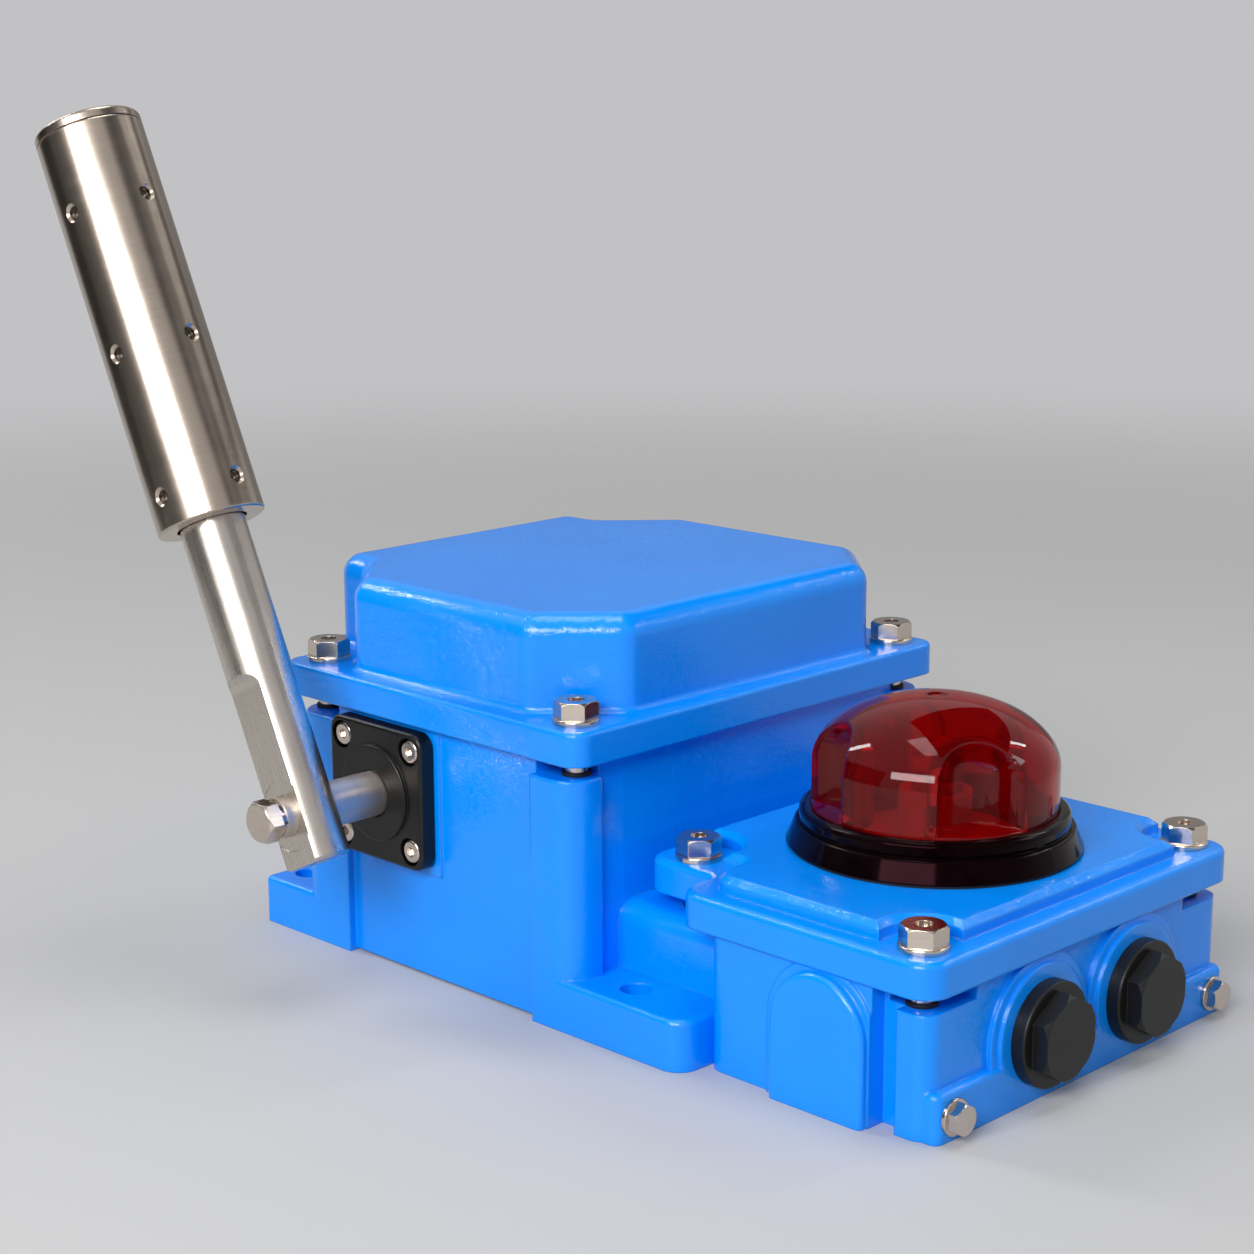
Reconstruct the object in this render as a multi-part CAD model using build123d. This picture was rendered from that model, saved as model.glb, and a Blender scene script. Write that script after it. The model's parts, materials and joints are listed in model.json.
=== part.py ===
"""Belt misalignment switch: a cast two-chamber enclosure with a sprung roller lever and a warning lamp.

Millimetres, +Z up. The origin is the centre of the four foot holes on the underside, +X runs
from the switch chamber to the terminal box, and the lever shaft comes out of the -Y side.
"""
from build123d import *
from math import cos, radians, sin, sqrt
import os

# Feet and mounting holes
foot_hole_spacing_x = 130.0
foot_hole_spacing_y = 120.0
foot_hole_diameter = 8.0
foot_thickness = 13.2
foot_face_y = 70.0
foot_end_margin = 7.6
left_foot_inner_x = -34.9
right_foot_inner_x = 37.9
right_foot_outer_x = 89.5
foot_corner_radius = 6.0
left_foot_corner_radius = 2.0
foot_edge_radius = 1.5

# Switch chamber
chamber_center_x = -2.5
chamber_length = 106.0
chamber_width = 135.4
chamber_rim_z = 69.4
chamber_corner_radius = 5.0
chamber_wall = 5.5
chamber_floor = 6.0
chamber_belly_z = 0.6
left_column_margin = 5.2
right_column_margin = 6.5
column_depth = 11.0
column_corner_radius = 8.0
column_edge_radius = 0.8
column_top_gap = 4.4
column_pocket_margin = 1.6
corner_relief_length = 9.4
corner_relief_depth = 1.2
cavity_chamfer = 23.6
chamber_bulge_margin = 1.0
chamber_bulge_radius = 4.0

# Main cover
cover_bolt_spacing_x = 97.0
cover_bolt_spacing_y = 123.0
cover_overhang = 9.4
cover_flange_thickness = 8.7
cover_corner_radius = 5.5
cover_bulge_margin = 5.0
cover_bulge_radius = 5.0
cover_edge_radius = 1.2
dome_half_width = 64.5
dome_right_x = 52.5
dome_left_x = 65.5
dome_height = 25.0
dome_wall = 4.0
dome_chamfer_x = 19.0
dome_chamfer_y = 18.5
dome_notch_x = 13.5
dome_notch_y = 19.0
dome_corner_radius = 7.0
dome_notch_radius = 6.5
dome_top_radius = 5.8
dome_foot_radius = 2.0
spigot_depth = 2.0
spigot_wall = 3.0
spigot_clearance = 0.4

# Sealing cords under both covers
cord_inset = 1.2
cord_width = 2.2
cord_depth = 2.0

# Terminal box and the bridge to it
terminal_left_x = 89.5
terminal_right_x = 155.7
terminal_half_width = 61.1
terminal_column_half_width = 60.0
terminal_rim_z = 34.5
terminal_floor = 4.5
terminal_wall = 5.2
terminal_corner_radius = 5.0
terminal_pocket_x = 142.0
terminal_pocket_y = 42.0
terminal_pocket_wall = 6.0
terminal_column_x = 146.7
terminal_recess_x = 140.6
terminal_recess_depth = 4.7
terminal_column_gap = 4.4
bridge_half_width = 51.3
bridge_top_z = 30.4
bridge_edge_radius = 5.5
passage_half_width = 12.0
passage_low_z = 14.0
passage_high_z = 26.0
ledge_face_x = 158.1
ledge_half_width = 59.0
ledge_height = 12.0
ledge_edge_radius = 1.5
blind_boss_center_x = 126.1
blind_boss_radius = 14.1
blind_boss_top_z = 33.9
blind_boss_step = 2.2
blind_boss_step_height = 0.8
blind_boss_height = 3.2
blind_boss_edge_radius = 1.5

# Terminal cover
terminal_bolt_right_x = 148.5
terminal_bolt_right_y = 53.0
terminal_bolt_left_x = 67.7
terminal_bolt_left_y = 40.2
terminal_cover_overhang = 9.3
terminal_tab_end_margin = 11.6
terminal_tab_margin = 8.0
terminal_step_x = 80.0
terminal_cover_thickness = 8.6
terminal_cover_radius = 7.0
terminal_tab_radius = 6.5
terminal_step_radius = 2.0
terminal_cover_edge_radius = 1.8
plateau_height = 4.2
plateau_margin = 5.8
plateau_scallop_radius = 10.5
plateau_slope = 1.6
cover_recess_roof = 4.5
cover_recess_inset = 2.0

# Cover bolts, M6 hexagon
bolt_diameter = 6.0
bolt_across_flats = 10.0
bolt_head_height = 4.4
bolt_head_chamfer = 0.7
bolt_dimple_diameter = 4.2
bolt_dimple_depth = 1.4
bolt_engagement = 13.0
bolt_hole_clearance = 0.3
thread_clearance = 0.05
washer_diameter = 12.0
washer_bore = 6.4
washer_thickness = 1.5
captive_ring_diameter = 7.6
captive_ring_height = 0.9
bolt_first_turn = -15.0
bolt_turn_step = -7.5

# Bearing flange on the -Y wall
shaft_x = -18.5
shaft_z = 49.3
shaft_diameter = 12.0
running_clearance = 0.05
flange_pad_size = 40.6
flange_pad_thickness = 0.6
flange_size = 37.0
flange_thickness = 4.2
flange_corner_radius = 4.0
flange_boss_diameter = 26.0
flange_boss_height = 1.0
flange_mouth_clearance = 0.35
flange_hub_diameter = 26.0
flange_hub_length = 19.0
flange_bore_diameter = 20.0
flange_gasket_thickness = 0.6
flange_screw_spacing = 27.0
flange_screw_diameter = 4.0
flange_screw_head = 6.6
flange_screw_head_height = 2.2
flange_counterbore = 7.6
flange_counterbore_depth = 2.5
flange_screw_length = 8.0
seal_thickness = 5.0
bush_length = 12.5

# Lever shaft outside the wall
lever_reach = 23.9
lever_lean = 26.0
lever_rod_diameter = 17.4
lever_flat_thickness = 11.4
lever_foot_length = 13.7
lever_flat_length = 38.0
cutter_radius = 4.0
spotface_diameter = 18.6
spotface_depth = 0.25
shaft_end_diameter = 10.8
shaft_end_stickout = 3.2
shaft_bolt_diameter = 6.0
shaft_bolt_length = 12.0
shaft_bolt_flats = 10.0
shaft_bolt_head = 4.2
spring_washer_diameter = 10.2
spring_washer_thickness = 1.4
foot_screw_diameter = 5.0
foot_screw_sink = 0.5
foot_screw_socket = 2.5

# Roller
roller_diameter = 28.6
roller_bore = 18.8
roller_start = 78.8
roller_length = 109.2
roller_end_radius = 0.6
roller_cap_thickness = 2.6
roller_cap_spigot = 5.0
roller_cap_edge = 1.0
roller_hole_diameter = 3.4
roller_hole_countersink = 5.0
roller_hole_first = 8.5
roller_hole_last = 22.1
roller_hole_angle = 8.0
roller_hole_columns = 4
roller_hole_rows = 3
grub_screw_length = 2.4
grub_screw_socket = 1.5
journal_diameter = 14.0
journal_start_gap = 2.4
roller_bush_length = 12.0
roller_end_play = 0.4
journal_tail = 2.5
retaining_ring_thickness = 1.0
retaining_ring_width = 2.6
retaining_groove_depth = 0.5

# Mechanism inside the switch chamber
frame_boss_height = 6.0
frame_boss_diameter = 10.0
frame_plate_thickness = 3.0
frame_left_x = -46.0
frame_right_x = 32.0
upright_left_x = -34.0
upright_right_x = 24.0
upright_top_margin = 15.0
upright_thickness = 3.2
switch_upright_y = -10.2
rear_upright_y = 20.0
frame_screw_diameter = 5.0
frame_screw_head = 8.5
frame_screw_head_height = 3.0
frame_screw_length = 7.5
frame_screw_inset = 5.0
rear_bush_diameter = 16.0
rear_bush_shoulder = 20.0
rear_bush_shoulder_height = 1.2
shaft_tail = 6.0
collar_diameter = 25.0
collar_width = 8.0
collar_gap = 4.0
spring_wire = 2.0
spring_mean_radius = 9.0
spring_pitch = 2.6
spring_turns = 5
spring_gap = 2.6
tang_gap = 0.3
tang_clearance = 0.1
cam_base_radius = 10.0
cam_lobe_radius = 14.0
cam_width = 5.0
cam_screw_diameter = 3.0
warning_lobe_half_angle = 12.0
stop_lobe_half_angle = 30.0
follower_gap = 0.3
microswitch_height = 27.8
microswitch_width = 10.3
microswitch_depth = 15.9
microswitch_blade_length = 6.0
microswitch_drop = 5.0
microswitch_offset = 2.6
follower_radius = 2.4
follower_width = 3.6
follower_arm_thickness = 0.6
microswitch_hole_spacing = 22.2
microswitch_screw_diameter = 3.0
microswitch_screw_head = 5.6
microswitch_screw_head_height = 2.0

# Warning lamp on the terminal cover
lamp_x = 110.0
lamp_ring_radius = 36.8
lamp_skirt_top_radius = 34.6
lamp_skirt_height = 5.3
lamp_roll_radius = 33.6
lamp_valley_depth = 0.5
lamp_ring_height = 9.4
lamp_ring_seat = 3.9
lamp_ring_edge_radius = 0.8
lamp_roll_edge_radius = 1.7
lamp_seat_radius = 26.2
lamp_gasket_thickness = 0.8
lamp_gasket_inset = 0.6
lens_radius = 30.6
lens_wall = 2.2
lens_shoulder_height = 20.9
lens_dome_rise = 17.1
lens_clearance = 0.2
lens_lip_height = 0.5
lens_gate_diameter = 5.3
lens_gate_depth = 0.4
lens_nub_diameter = 4.0
lens_nub_tip_diameter = 2.4
lens_nub_length = 5.5
scallop_radius = 10.3
scallop_depth = 11.8
scallop_edge_radius = 1.2
scallop_top_below_crown = 15.0
scallop_angle = -30.5
scallop_count = 4
lamp_holder_radius = 9.0
lamp_holder_height = 12.0
lamp_socket_depth = 6.0
lamp_plate_radius = 24.0
lamp_plate_thickness = 2.0
bulb_radius = 6.0
bulb_height = 14.0
lamp_screw_circle = 29.0
lamp_screw_diameter = 3.5
lamp_screw_first_angle = -90.0
lamp_screw_angle_step = 90.0
lamp_screw_count = 3
lamp_screw_head = 6.5
lamp_screw_head_height = 2.0
lamp_screw_bite = 3.0
lamp_wire_hole = 10.0

# Cable entries with blanking plugs, M20
entry_spacing = 38.2
entry_z = 16.3
entry_diameter = 20.0
entry_boss_outer_radius = 19.0
entry_boss_inner_radius = 16.6
entry_boss_outer_height = 1.4
entry_boss_inner_height = 2.4
plug_collar_diameter = 25.8
plug_collar_thickness = 3.6
plug_hex_flats = 19.0
plug_hex_height = 4.2
plug_hex_chamfer = 1.2
plug_shank_length = 9.0
plug_shank_clearance = 0.1
plug_seal_thickness = 1.0
plug_seal_inset = 0.8

# Earthing screws, M4 hexagon
earth_screw_y = 53.1
earth_screw_z = 5.8
earth_screw_diameter = 4.0
earth_screw_flats = 7.0
earth_screw_head = 2.8
earth_screw_length = 10.0
earth_washer_diameter = 9.0
earth_washer_thickness = 1.0

# Terminal block
block_x = 116.0
block_length = 56.0
block_width = 22.0
block_height = 16.0
block_base_height = 3.0
block_poles = 8
block_end_land = 8.0
block_screw_diameter = 4.0
block_screw_height = 1.2
block_step_depth = 5.0
block_step_height = 6.0

# Places worked out from the sizes above
column_top_z = chamber_rim_z - column_top_gap
flange_top_z = chamber_rim_z + cover_flange_thickness
dome_top_z = flange_top_z + dome_height
terminal_column_top_z = terminal_rim_z - terminal_column_gap
terminal_seat_z = terminal_rim_z + terminal_cover_thickness
plateau_top_z = terminal_seat_z + plateau_height
wall_face_y = -chamber_width / 2
flange_back_y = wall_face_y - flange_pad_thickness - flange_gasket_thickness
flange_front_y = flange_back_y - flange_thickness
lever_y = flange_front_y - lever_reach
lever_front_y = lever_y - lever_flat_thickness / 2
lever_back_y = lever_y + lever_flat_thickness / 2
shaft_end_y = lever_front_y - shaft_end_stickout
hub_end_y = flange_back_y + flange_hub_length
collar_y = hub_end_y + collar_gap
spring_start_y = collar_y + collar_width + spring_gap
spring_end_y = spring_start_y + spring_turns * spring_pitch
switch_face_y = switch_upright_y + upright_thickness
rear_face_y = rear_upright_y + upright_thickness
shaft_tail_y = rear_face_y + rear_bush_shoulder_height + shaft_tail
frame_seat_z = chamber_floor + frame_boss_height
frame_top_z = frame_seat_z + frame_plate_thickness
upright_top_z = shaft_z + upright_top_margin
roller_end = roller_start + roller_length
roller_hole_span = roller_length - roller_hole_first - roller_hole_last
roller_hole_pitch = roller_hole_span / (roller_hole_rows - 1)
chamber_bulge_x = dome_left_x + chamber_bulge_margin
chamber_bulge_y = dome_half_width - dome_notch_y + chamber_bulge_margin
left_column_x = chamber_center_x - cover_bolt_spacing_x / 2 - left_column_margin
right_column_x = chamber_center_x + cover_bolt_spacing_x / 2 + right_column_margin
bolt_drop = cover_flange_thickness + column_top_gap
ring_base_z = plateau_top_z + lamp_gasket_thickness
lens_base_z = ring_base_z + lamp_ring_seat
lens_shoulder_z = plateau_top_z + lens_shoulder_height
lens_crown_z = lens_shoulder_z + lens_dome_rise
entry_face_x = terminal_right_x + entry_boss_inner_height
block_seat_z = terminal_floor + block_base_height


def signs():
    return ((-1, -1), (1, -1), (1, 1), (-1, 1))


def rod_z(radius, low, high, x=0.0, y=0.0):
    return Pos(x, y, (low + high) / 2) * Cylinder(radius, high - low)


def rod_y(radius, low, high, x=0.0, z=0.0):
    return Pos(x, (low + high) / 2, z) * Rot(90, 0, 0) * Cylinder(radius, high - low)


def rod_x(radius, low, high, y=0.0, z=0.0):
    return Pos((low + high) / 2, y, z) * Rot(0, 90, 0) * Cylinder(radius, high - low)


def block(low, high):
    size = [b - a for a, b in zip(low, high)]
    middle = [(a + b) / 2 for a, b in zip(low, high)]
    return Pos(*middle) * Box(*size)


def rounded_block(low, high, radius, edge_radius=0.0):
    """Box with rounded upright corners and, if asked, a rounded top edge."""
    outline = RectangleRounded(high[0] - low[0], high[1] - low[1], radius)
    solid = extrude(outline, amount=high[2] - low[2])
    if edge_radius > 0:
        solid = fillet(solid.faces().sort_by(Axis.Z)[-1].edges(), edge_radius)
    return Pos((low[0] + high[0]) / 2, (low[1] + high[1]) / 2, low[2]) * solid


def raised(outline, low, high):
    """Extrude a flat outline from one height to another."""
    return Pos(0, 0, low) * extrude(outline, amount=high - low)


def hexagon_prism(across_flats, height, chamfer_size):
    """Hexagon with its top corners turned off, standing on the XY plane."""
    corner_radius = across_flats / sqrt(3)
    prism = extrude(RegularPolygon(corner_radius, 6), amount=height)
    turned = Cylinder(corner_radius, height, align=(Align.CENTER, Align.CENTER, Align.MIN))
    turned = chamfer(turned.edges().sort_by(Axis.Z)[-1], chamfer_size)
    return prism & turned


def hex_bolt(diameter, flats, head, length, top_chamfer):
    """Hexagon bolt pointing down, with the underside of its head on the XY plane."""
    return hexagon_prism(flats, head, top_chamfer) + rod_z(diameter / 2, -length, 0)


def socket_screw(diameter, length, socket):
    """Headless screw along +Z from the XY plane, with a hexagon socket in its outer end."""
    body = Cylinder(diameter / 2, length, align=(Align.CENTER, Align.CENTER, Align.MIN))
    return body - extrude(RegularPolygon(socket / 2, 6), amount=socket * 0.7)


def chamber_cavity_outline():
    half_x = chamber_length / 2 - chamber_wall
    half_y = chamber_width / 2 - chamber_wall
    cut = cavity_chamfer
    bulge_x = chamber_bulge_x - chamber_wall
    corners = [
        (half_x, -half_y + cut), (half_x, half_y - cut), (half_x - cut, half_y),
        (-half_x + cut, half_y), (-half_x, half_y - cut), (-bulge_x, half_y - cut),
        (-bulge_x, -half_y + cut), (-half_x, -half_y + cut),
        (-half_x + cut, -half_y), (half_x - cut, -half_y),
    ]
    return Pos(chamber_center_x, 0) * make_face(Polyline(*corners, close=True))


def terminal_cavity_outline():
    left = terminal_left_x + terminal_wall
    right = terminal_right_x - terminal_wall
    half = terminal_half_width - terminal_wall
    notch_x = terminal_pocket_x - terminal_pocket_wall
    notch_y = terminal_pocket_y - terminal_pocket_wall
    corners = [
        (left, -half), (notch_x, -half), (notch_x, -notch_y), (right, -notch_y),
        (right, notch_y), (notch_x, notch_y), (notch_x, half), (left, half),
    ]
    return make_face(Polyline(*corners, close=True))


def cord_outline(cavity):
    outer = offset(cavity, cord_inset + cord_width, kind=Kind.ARC)
    inner = offset(cavity, cord_inset, kind=Kind.ARC)
    return outer - inner


def sealing_cord(cavity, rim_z):
    return raised(cord_outline(cavity), rim_z - cord_depth, rim_z)


def cover_bolt_places():
    half_x = cover_bolt_spacing_x / 2
    half_y = cover_bolt_spacing_y / 2
    return [(chamber_center_x + sx * half_x, sy * half_y) for sx, sy in signs()]


def terminal_bolt_places():
    left = [(terminal_bolt_left_x, side * terminal_bolt_left_y) for side in (-1, 1)]
    right = [(terminal_bolt_right_x, side * terminal_bolt_right_y) for side in (-1, 1)]
    return left + right


def foot_hole_places():
    return [(sx * foot_hole_spacing_x / 2, sy * foot_hole_spacing_y / 2) for sx, sy in signs()]


def entry_places():
    return [-entry_spacing / 2, entry_spacing / 2]


def flange_screw_places():
    half = flange_screw_spacing / 2
    return [(shaft_x + sx * half, shaft_z + sz * half) for sx, sz in signs()]


def frame_screw_places():
    low_y = switch_face_y + frame_screw_inset
    high_y = rear_upright_y - frame_screw_inset
    xs = (frame_left_x + frame_screw_inset, frame_right_x - frame_screw_inset)
    return [(x, y) for x in xs for y in (low_y, high_y)]


def blind_boss(radius, height):
    """Arch-topped boss standing off the -Y wall of the terminal box."""
    center_z = blind_boss_top_z - blind_boss_radius
    lower = Pos(0, -center_z / 2) * Rectangle(2 * radius, center_z)
    arch = extrude(Circle(radius) + lower, amount=height)
    return arch, center_z


def blind_bosses():
    """The stepped blind bosses on both sides of the terminal box."""
    base, center_z = blind_boss(blind_boss_radius + blind_boss_step, blind_boss_step_height)
    front, center_z = blind_boss(blind_boss_radius, blind_boss_height)
    rim = front.faces().sort_by(Axis.Z)[-1].edges().filter_by(lambda e: e.center().Y > 0.1 - center_z)
    front = fillet(rim, blind_boss_edge_radius)
    place = Pos(blind_boss_center_x, -terminal_half_width, center_z) * Rot(90, 0, 0)
    boss = place * (base + front)
    below_rim = block(
        (terminal_left_x, -2 * terminal_half_width, 0),
        (terminal_recess_x, 0, terminal_rim_z),
    )
    boss = boss & below_rim
    return boss + mirror(boss, Plane.XZ)


def feet():
    left_outer = -foot_hole_spacing_x / 2 - foot_end_margin
    parts = []
    for side in (-1, 1):
        inner_y = side * bridge_half_width
        low_y, high_y = sorted((side * foot_face_y, inner_y - side * foot_corner_radius))
        for start, end in ((left_outer, left_foot_inner_x), (right_foot_inner_x, right_foot_outer_x)):
            is_left = start == left_outer
            radius = left_foot_corner_radius if is_left else foot_corner_radius
            outline = Pos((start + end) / 2, (low_y + high_y) / 2) * Rectangle(end - start, high_y - low_y)
            outer_corners = outline.vertices().group_by(Axis.X)[0 if is_left else -1]
            foot = raised(fillet(outer_corners, radius), 0, foot_thickness)
            parts.append(fillet(foot.faces().sort_by(Axis.Z)[-1].edges(), foot_edge_radius))
    return parts


def entry_bosses():
    """Two stepped rings round the cable entries, cut level with the base and the rim."""
    rings = []
    for y in entry_places():
        outer_end = terminal_right_x + entry_boss_outer_height
        rings.append(rod_x(entry_boss_outer_radius, terminal_right_x - 1, outer_end, y, entry_z))
        rings.append(rod_x(entry_boss_inner_radius, terminal_right_x - 1, entry_face_x, y, entry_z))
    low = (terminal_right_x - 1, -terminal_half_width, 0)
    high = (entry_face_x, terminal_half_width, terminal_rim_z)
    return (rings[0] + rings[1:]) & block(low, high)


def housing_outside():
    half_y = chamber_width / 2
    left = chamber_center_x - chamber_length / 2
    right = chamber_center_x + chamber_length / 2
    low = (left, -half_y, chamber_belly_z)
    body = rounded_block(low, (right, half_y, chamber_rim_z), chamber_corner_radius)
    bulge_end = chamber_center_x - chamber_bulge_x
    body += rounded_block(
        (bulge_end, -chamber_bulge_y, chamber_belly_z),
        (chamber_center_x, chamber_bulge_y, chamber_rim_z), chamber_bulge_radius,
    )
    body -= corner_reliefs()
    columns = rounded_block(
        (left_column_x, -foot_face_y, 0), (right_column_x, foot_face_y, column_top_z),
        column_corner_radius, column_edge_radius,
    )
    for sx, sy in signs():
        outer_x, inner_x = right_column_x, right_foot_inner_x
        if sx < 0:
            outer_x, inner_x = left_column_x, left_foot_inner_x
        low_x, high_x = sorted((outer_x, inner_x))
        low_y, high_y = sorted((sy * foot_face_y, sy * (foot_face_y - column_depth)))
        window = block((low_x, low_y, 0), (high_x, high_y, column_top_z))
        pocket_y = foot_face_y - column_depth - column_pocket_margin
        low_y, high_y = sorted((sy * (foot_face_y + 1), sy * pocket_y))
        low_x, high_x = sorted((outer_x + sx * chamber_wall, inner_x))
        body -= block((low_x, low_y, column_top_z), (high_x, high_y, chamber_rim_z + 1))
        body += columns & window
    for foot in feet():
        body += foot
    bridge = block((right - 1, -bridge_half_width, 0), (terminal_left_x + 1, bridge_half_width, bridge_top_z))
    bridge_edges = bridge.edges().filter_by(Axis.X).group_by(Axis.Z)[-1]
    body += fillet(bridge_edges, bridge_edge_radius)
    body += terminal_box()
    body += blind_bosses()
    body += entry_bosses()
    pad = flange_pad_size / 2
    pad_face_y = wall_face_y - flange_pad_thickness
    body += block(
        (shaft_x - pad, pad_face_y, shaft_z - pad),
        (shaft_x + pad, wall_face_y + 1, shaft_z + pad - 1),
    )
    cutter_start_y = min(-foot_face_y, pad_face_y) - 1
    milled = block(
        (shaft_x - pad, cutter_start_y, shaft_z - pad),
        (shaft_x + pad, pad_face_y, shaft_z + pad - 1),
    )
    return body - milled


def corner_reliefs():
    """Shallow slanted hollows in the +X wall of the chamber, beside its two bolt columns."""
    wall_x = chamber_center_x + chamber_length / 2
    column_y = foot_face_y - column_depth
    start_y = column_y - corner_relief_length
    end_y = column_y + column_depth / 2
    hollow = make_face(Polyline(
        (wall_x, start_y), (wall_x - corner_relief_depth, column_y),
        (wall_x - corner_relief_depth, end_y), (wall_x + 1, end_y),
        (wall_x + 1, start_y), close=True,
    ))
    relief = raised(hollow, 0, chamber_rim_z)
    return [relief, mirror(relief, Plane.XZ)]


def terminal_box():
    box = rounded_block(
        (terminal_left_x, -terminal_half_width, 0),
        (terminal_column_x, terminal_half_width, terminal_rim_z), terminal_corner_radius,
    )
    box += rounded_block(
        (terminal_left_x + terminal_wall, -terminal_column_half_width, 0),
        (terminal_right_x, terminal_column_half_width, terminal_rim_z), terminal_corner_radius,
    )
    ledge = rounded_block(
        (terminal_pocket_x, -ledge_half_width, 0),
        (ledge_face_x, ledge_half_width, ledge_height), terminal_corner_radius / 2, ledge_edge_radius,
    )
    box += ledge
    for side in (-1, 1):
        outer = side * (terminal_half_width + 1)
        inner = side * (terminal_half_width - terminal_recess_depth)
        low_y, high_y = sorted((outer, inner))
        box -= block((terminal_recess_x, low_y, -1), (terminal_column_x, high_y, terminal_rim_z + 1))
        low_y, high_y = sorted((outer, side * terminal_pocket_y))
        box -= block(
            (terminal_pocket_x, low_y, terminal_column_top_z),
            (terminal_right_x + 1, high_y, terminal_rim_z + 1),
        )
    return box


def housing():
    """The casting: switch chamber, bridge and terminal box in one piece."""
    body = housing_outside()
    body -= raised(chamber_cavity_outline(), chamber_floor, chamber_rim_z + 1)
    body -= raised(terminal_cavity_outline(), terminal_floor, terminal_rim_z + 1)
    passage_start = chamber_center_x + chamber_length / 2 - chamber_wall - 1
    body -= block(
        (passage_start, -passage_half_width, passage_low_z),
        (terminal_left_x + terminal_wall + 1, passage_half_width, passage_high_z),
    )
    body -= sealing_cord(chamber_cavity_outline(), chamber_rim_z)
    body -= sealing_cord(terminal_cavity_outline(), terminal_rim_z)
    for x, y in foot_hole_places():
        body -= rod_z(foot_hole_diameter / 2, -1, foot_thickness + 1, x, y)
    bolt_hole = bolt_diameter / 2 + thread_clearance
    for x, y in cover_bolt_places():
        body -= rod_z(bolt_hole, column_top_z - bolt_engagement - 2, column_top_z + 1, x, y)
    for x, y in terminal_bolt_places():
        top = terminal_column_top_z if x > terminal_step_x else bridge_top_z
        body -= rod_z(bolt_hole, top - bolt_engagement - 2, top + 1, x, y)
    hub_hole = flange_hub_diameter / 2 + bolt_hole_clearance
    body -= rod_y(hub_hole, wall_face_y - 5, hub_end_y + 1, shaft_x, shaft_z)
    flange_hole = flange_screw_diameter / 2 + thread_clearance
    for x, z in flange_screw_places():
        body -= rod_y(flange_hole, wall_face_y - 5, wall_face_y + chamber_wall + 1, x, z)
    for y in entry_places():
        body -= rod_x(entry_diameter / 2, terminal_right_x - terminal_wall - 1, entry_face_x + 1, y, entry_z)
    earth_hole = earth_screw_diameter / 2 + thread_clearance
    for side in (-1, 1):
        y = side * earth_screw_y
        body -= rod_x(earth_hole, ledge_face_x - earth_screw_length - 1, ledge_face_x + 1, y, earth_screw_z)
    return body + frame_bosses() + block_bosses()


def frame_bosses():
    """Tapped bosses on the chamber floor that carry the mechanism frame."""
    bosses = []
    for x, y in frame_screw_places():
        boss = rod_z(frame_boss_diameter / 2, chamber_floor, frame_seat_z, x, y)
        hole = rod_z(frame_screw_diameter / 2 + thread_clearance, chamber_floor + 1, frame_seat_z + 1, x, y)
        bosses.append(boss - hole)
    return bosses


def block_screw_places():
    reach = block_length / 2 - 4
    return [(block_x, -reach), (block_x, reach)]


def block_bosses():
    """Low bosses on the terminal box floor under the ends of the terminal block."""
    hole_radius = block_screw_diameter / 2 + thread_clearance
    bosses = []
    for x, y in block_screw_places():
        boss = rod_z(block_screw_diameter, terminal_floor, block_seat_z, x, y)
        bosses.append(boss - rod_z(hole_radius, terminal_floor + 0.5, block_seat_z + 1, x, y))
    return bosses


def dome_outline(inset=0.0):
    """Plan of the dome: chamfered right corners, stepped left corners."""
    right = dome_right_x
    left = -dome_left_x
    side = dome_half_width
    near_left = -dome_right_x + dome_chamfer_x
    step_x = left + dome_notch_x
    step_y = side - dome_notch_y
    half = [
        (near_left, side), (step_x, step_y), (left, step_y),
    ]
    mirrored = [(x, -y) for x, y in reversed(half)]
    corners = [(right, side - dome_chamfer_y), (right - dome_chamfer_x, side)] + half + mirrored
    corners += [(right - dome_chamfer_x, -side), (right, -side + dome_chamfer_y)]
    outline = make_face(Polyline(*corners, close=True))
    outline = fillet(outline.vertices().group_by(Axis.X)[-1], dome_corner_radius)
    for x, y in half + mirrored:
        corner = outline.vertices().sort_by_distance((x, y))[0]
        outline = fillet(corner, dome_notch_radius)
    for side in (-1, 1):
        corner = outline.vertices().sort_by_distance((right - dome_chamfer_x, side * dome_half_width))[0]
        outline = fillet(corner, dome_corner_radius)
    if inset > 0:
        outline = offset(outline, -inset, kind=Kind.ARC)
    return Pos(chamber_center_x, 0) * outline


def cover_flange_outline():
    """Rectangle over the four bolts with a wide tongue under the left end of the dome."""
    length = cover_bolt_spacing_x + 2 * cover_overhang
    width = cover_bolt_spacing_y + 2 * cover_overhang
    tongue_x = dome_left_x + cover_bulge_margin
    tongue_y = dome_half_width - dome_notch_y + cover_bulge_margin
    tongue = Pos(-tongue_x / 2, 0) * RectangleRounded(tongue_x, 2 * tongue_y, cover_bulge_radius)
    outline = RectangleRounded(length, width, cover_corner_radius) + tongue
    for side in (-1, 1):
        corner = outline.vertices().sort_by_distance((-length / 2, side * tongue_y))[0]
        outline = fillet(corner, cover_bulge_radius)
    return Pos(chamber_center_x, 0) * outline


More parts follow.
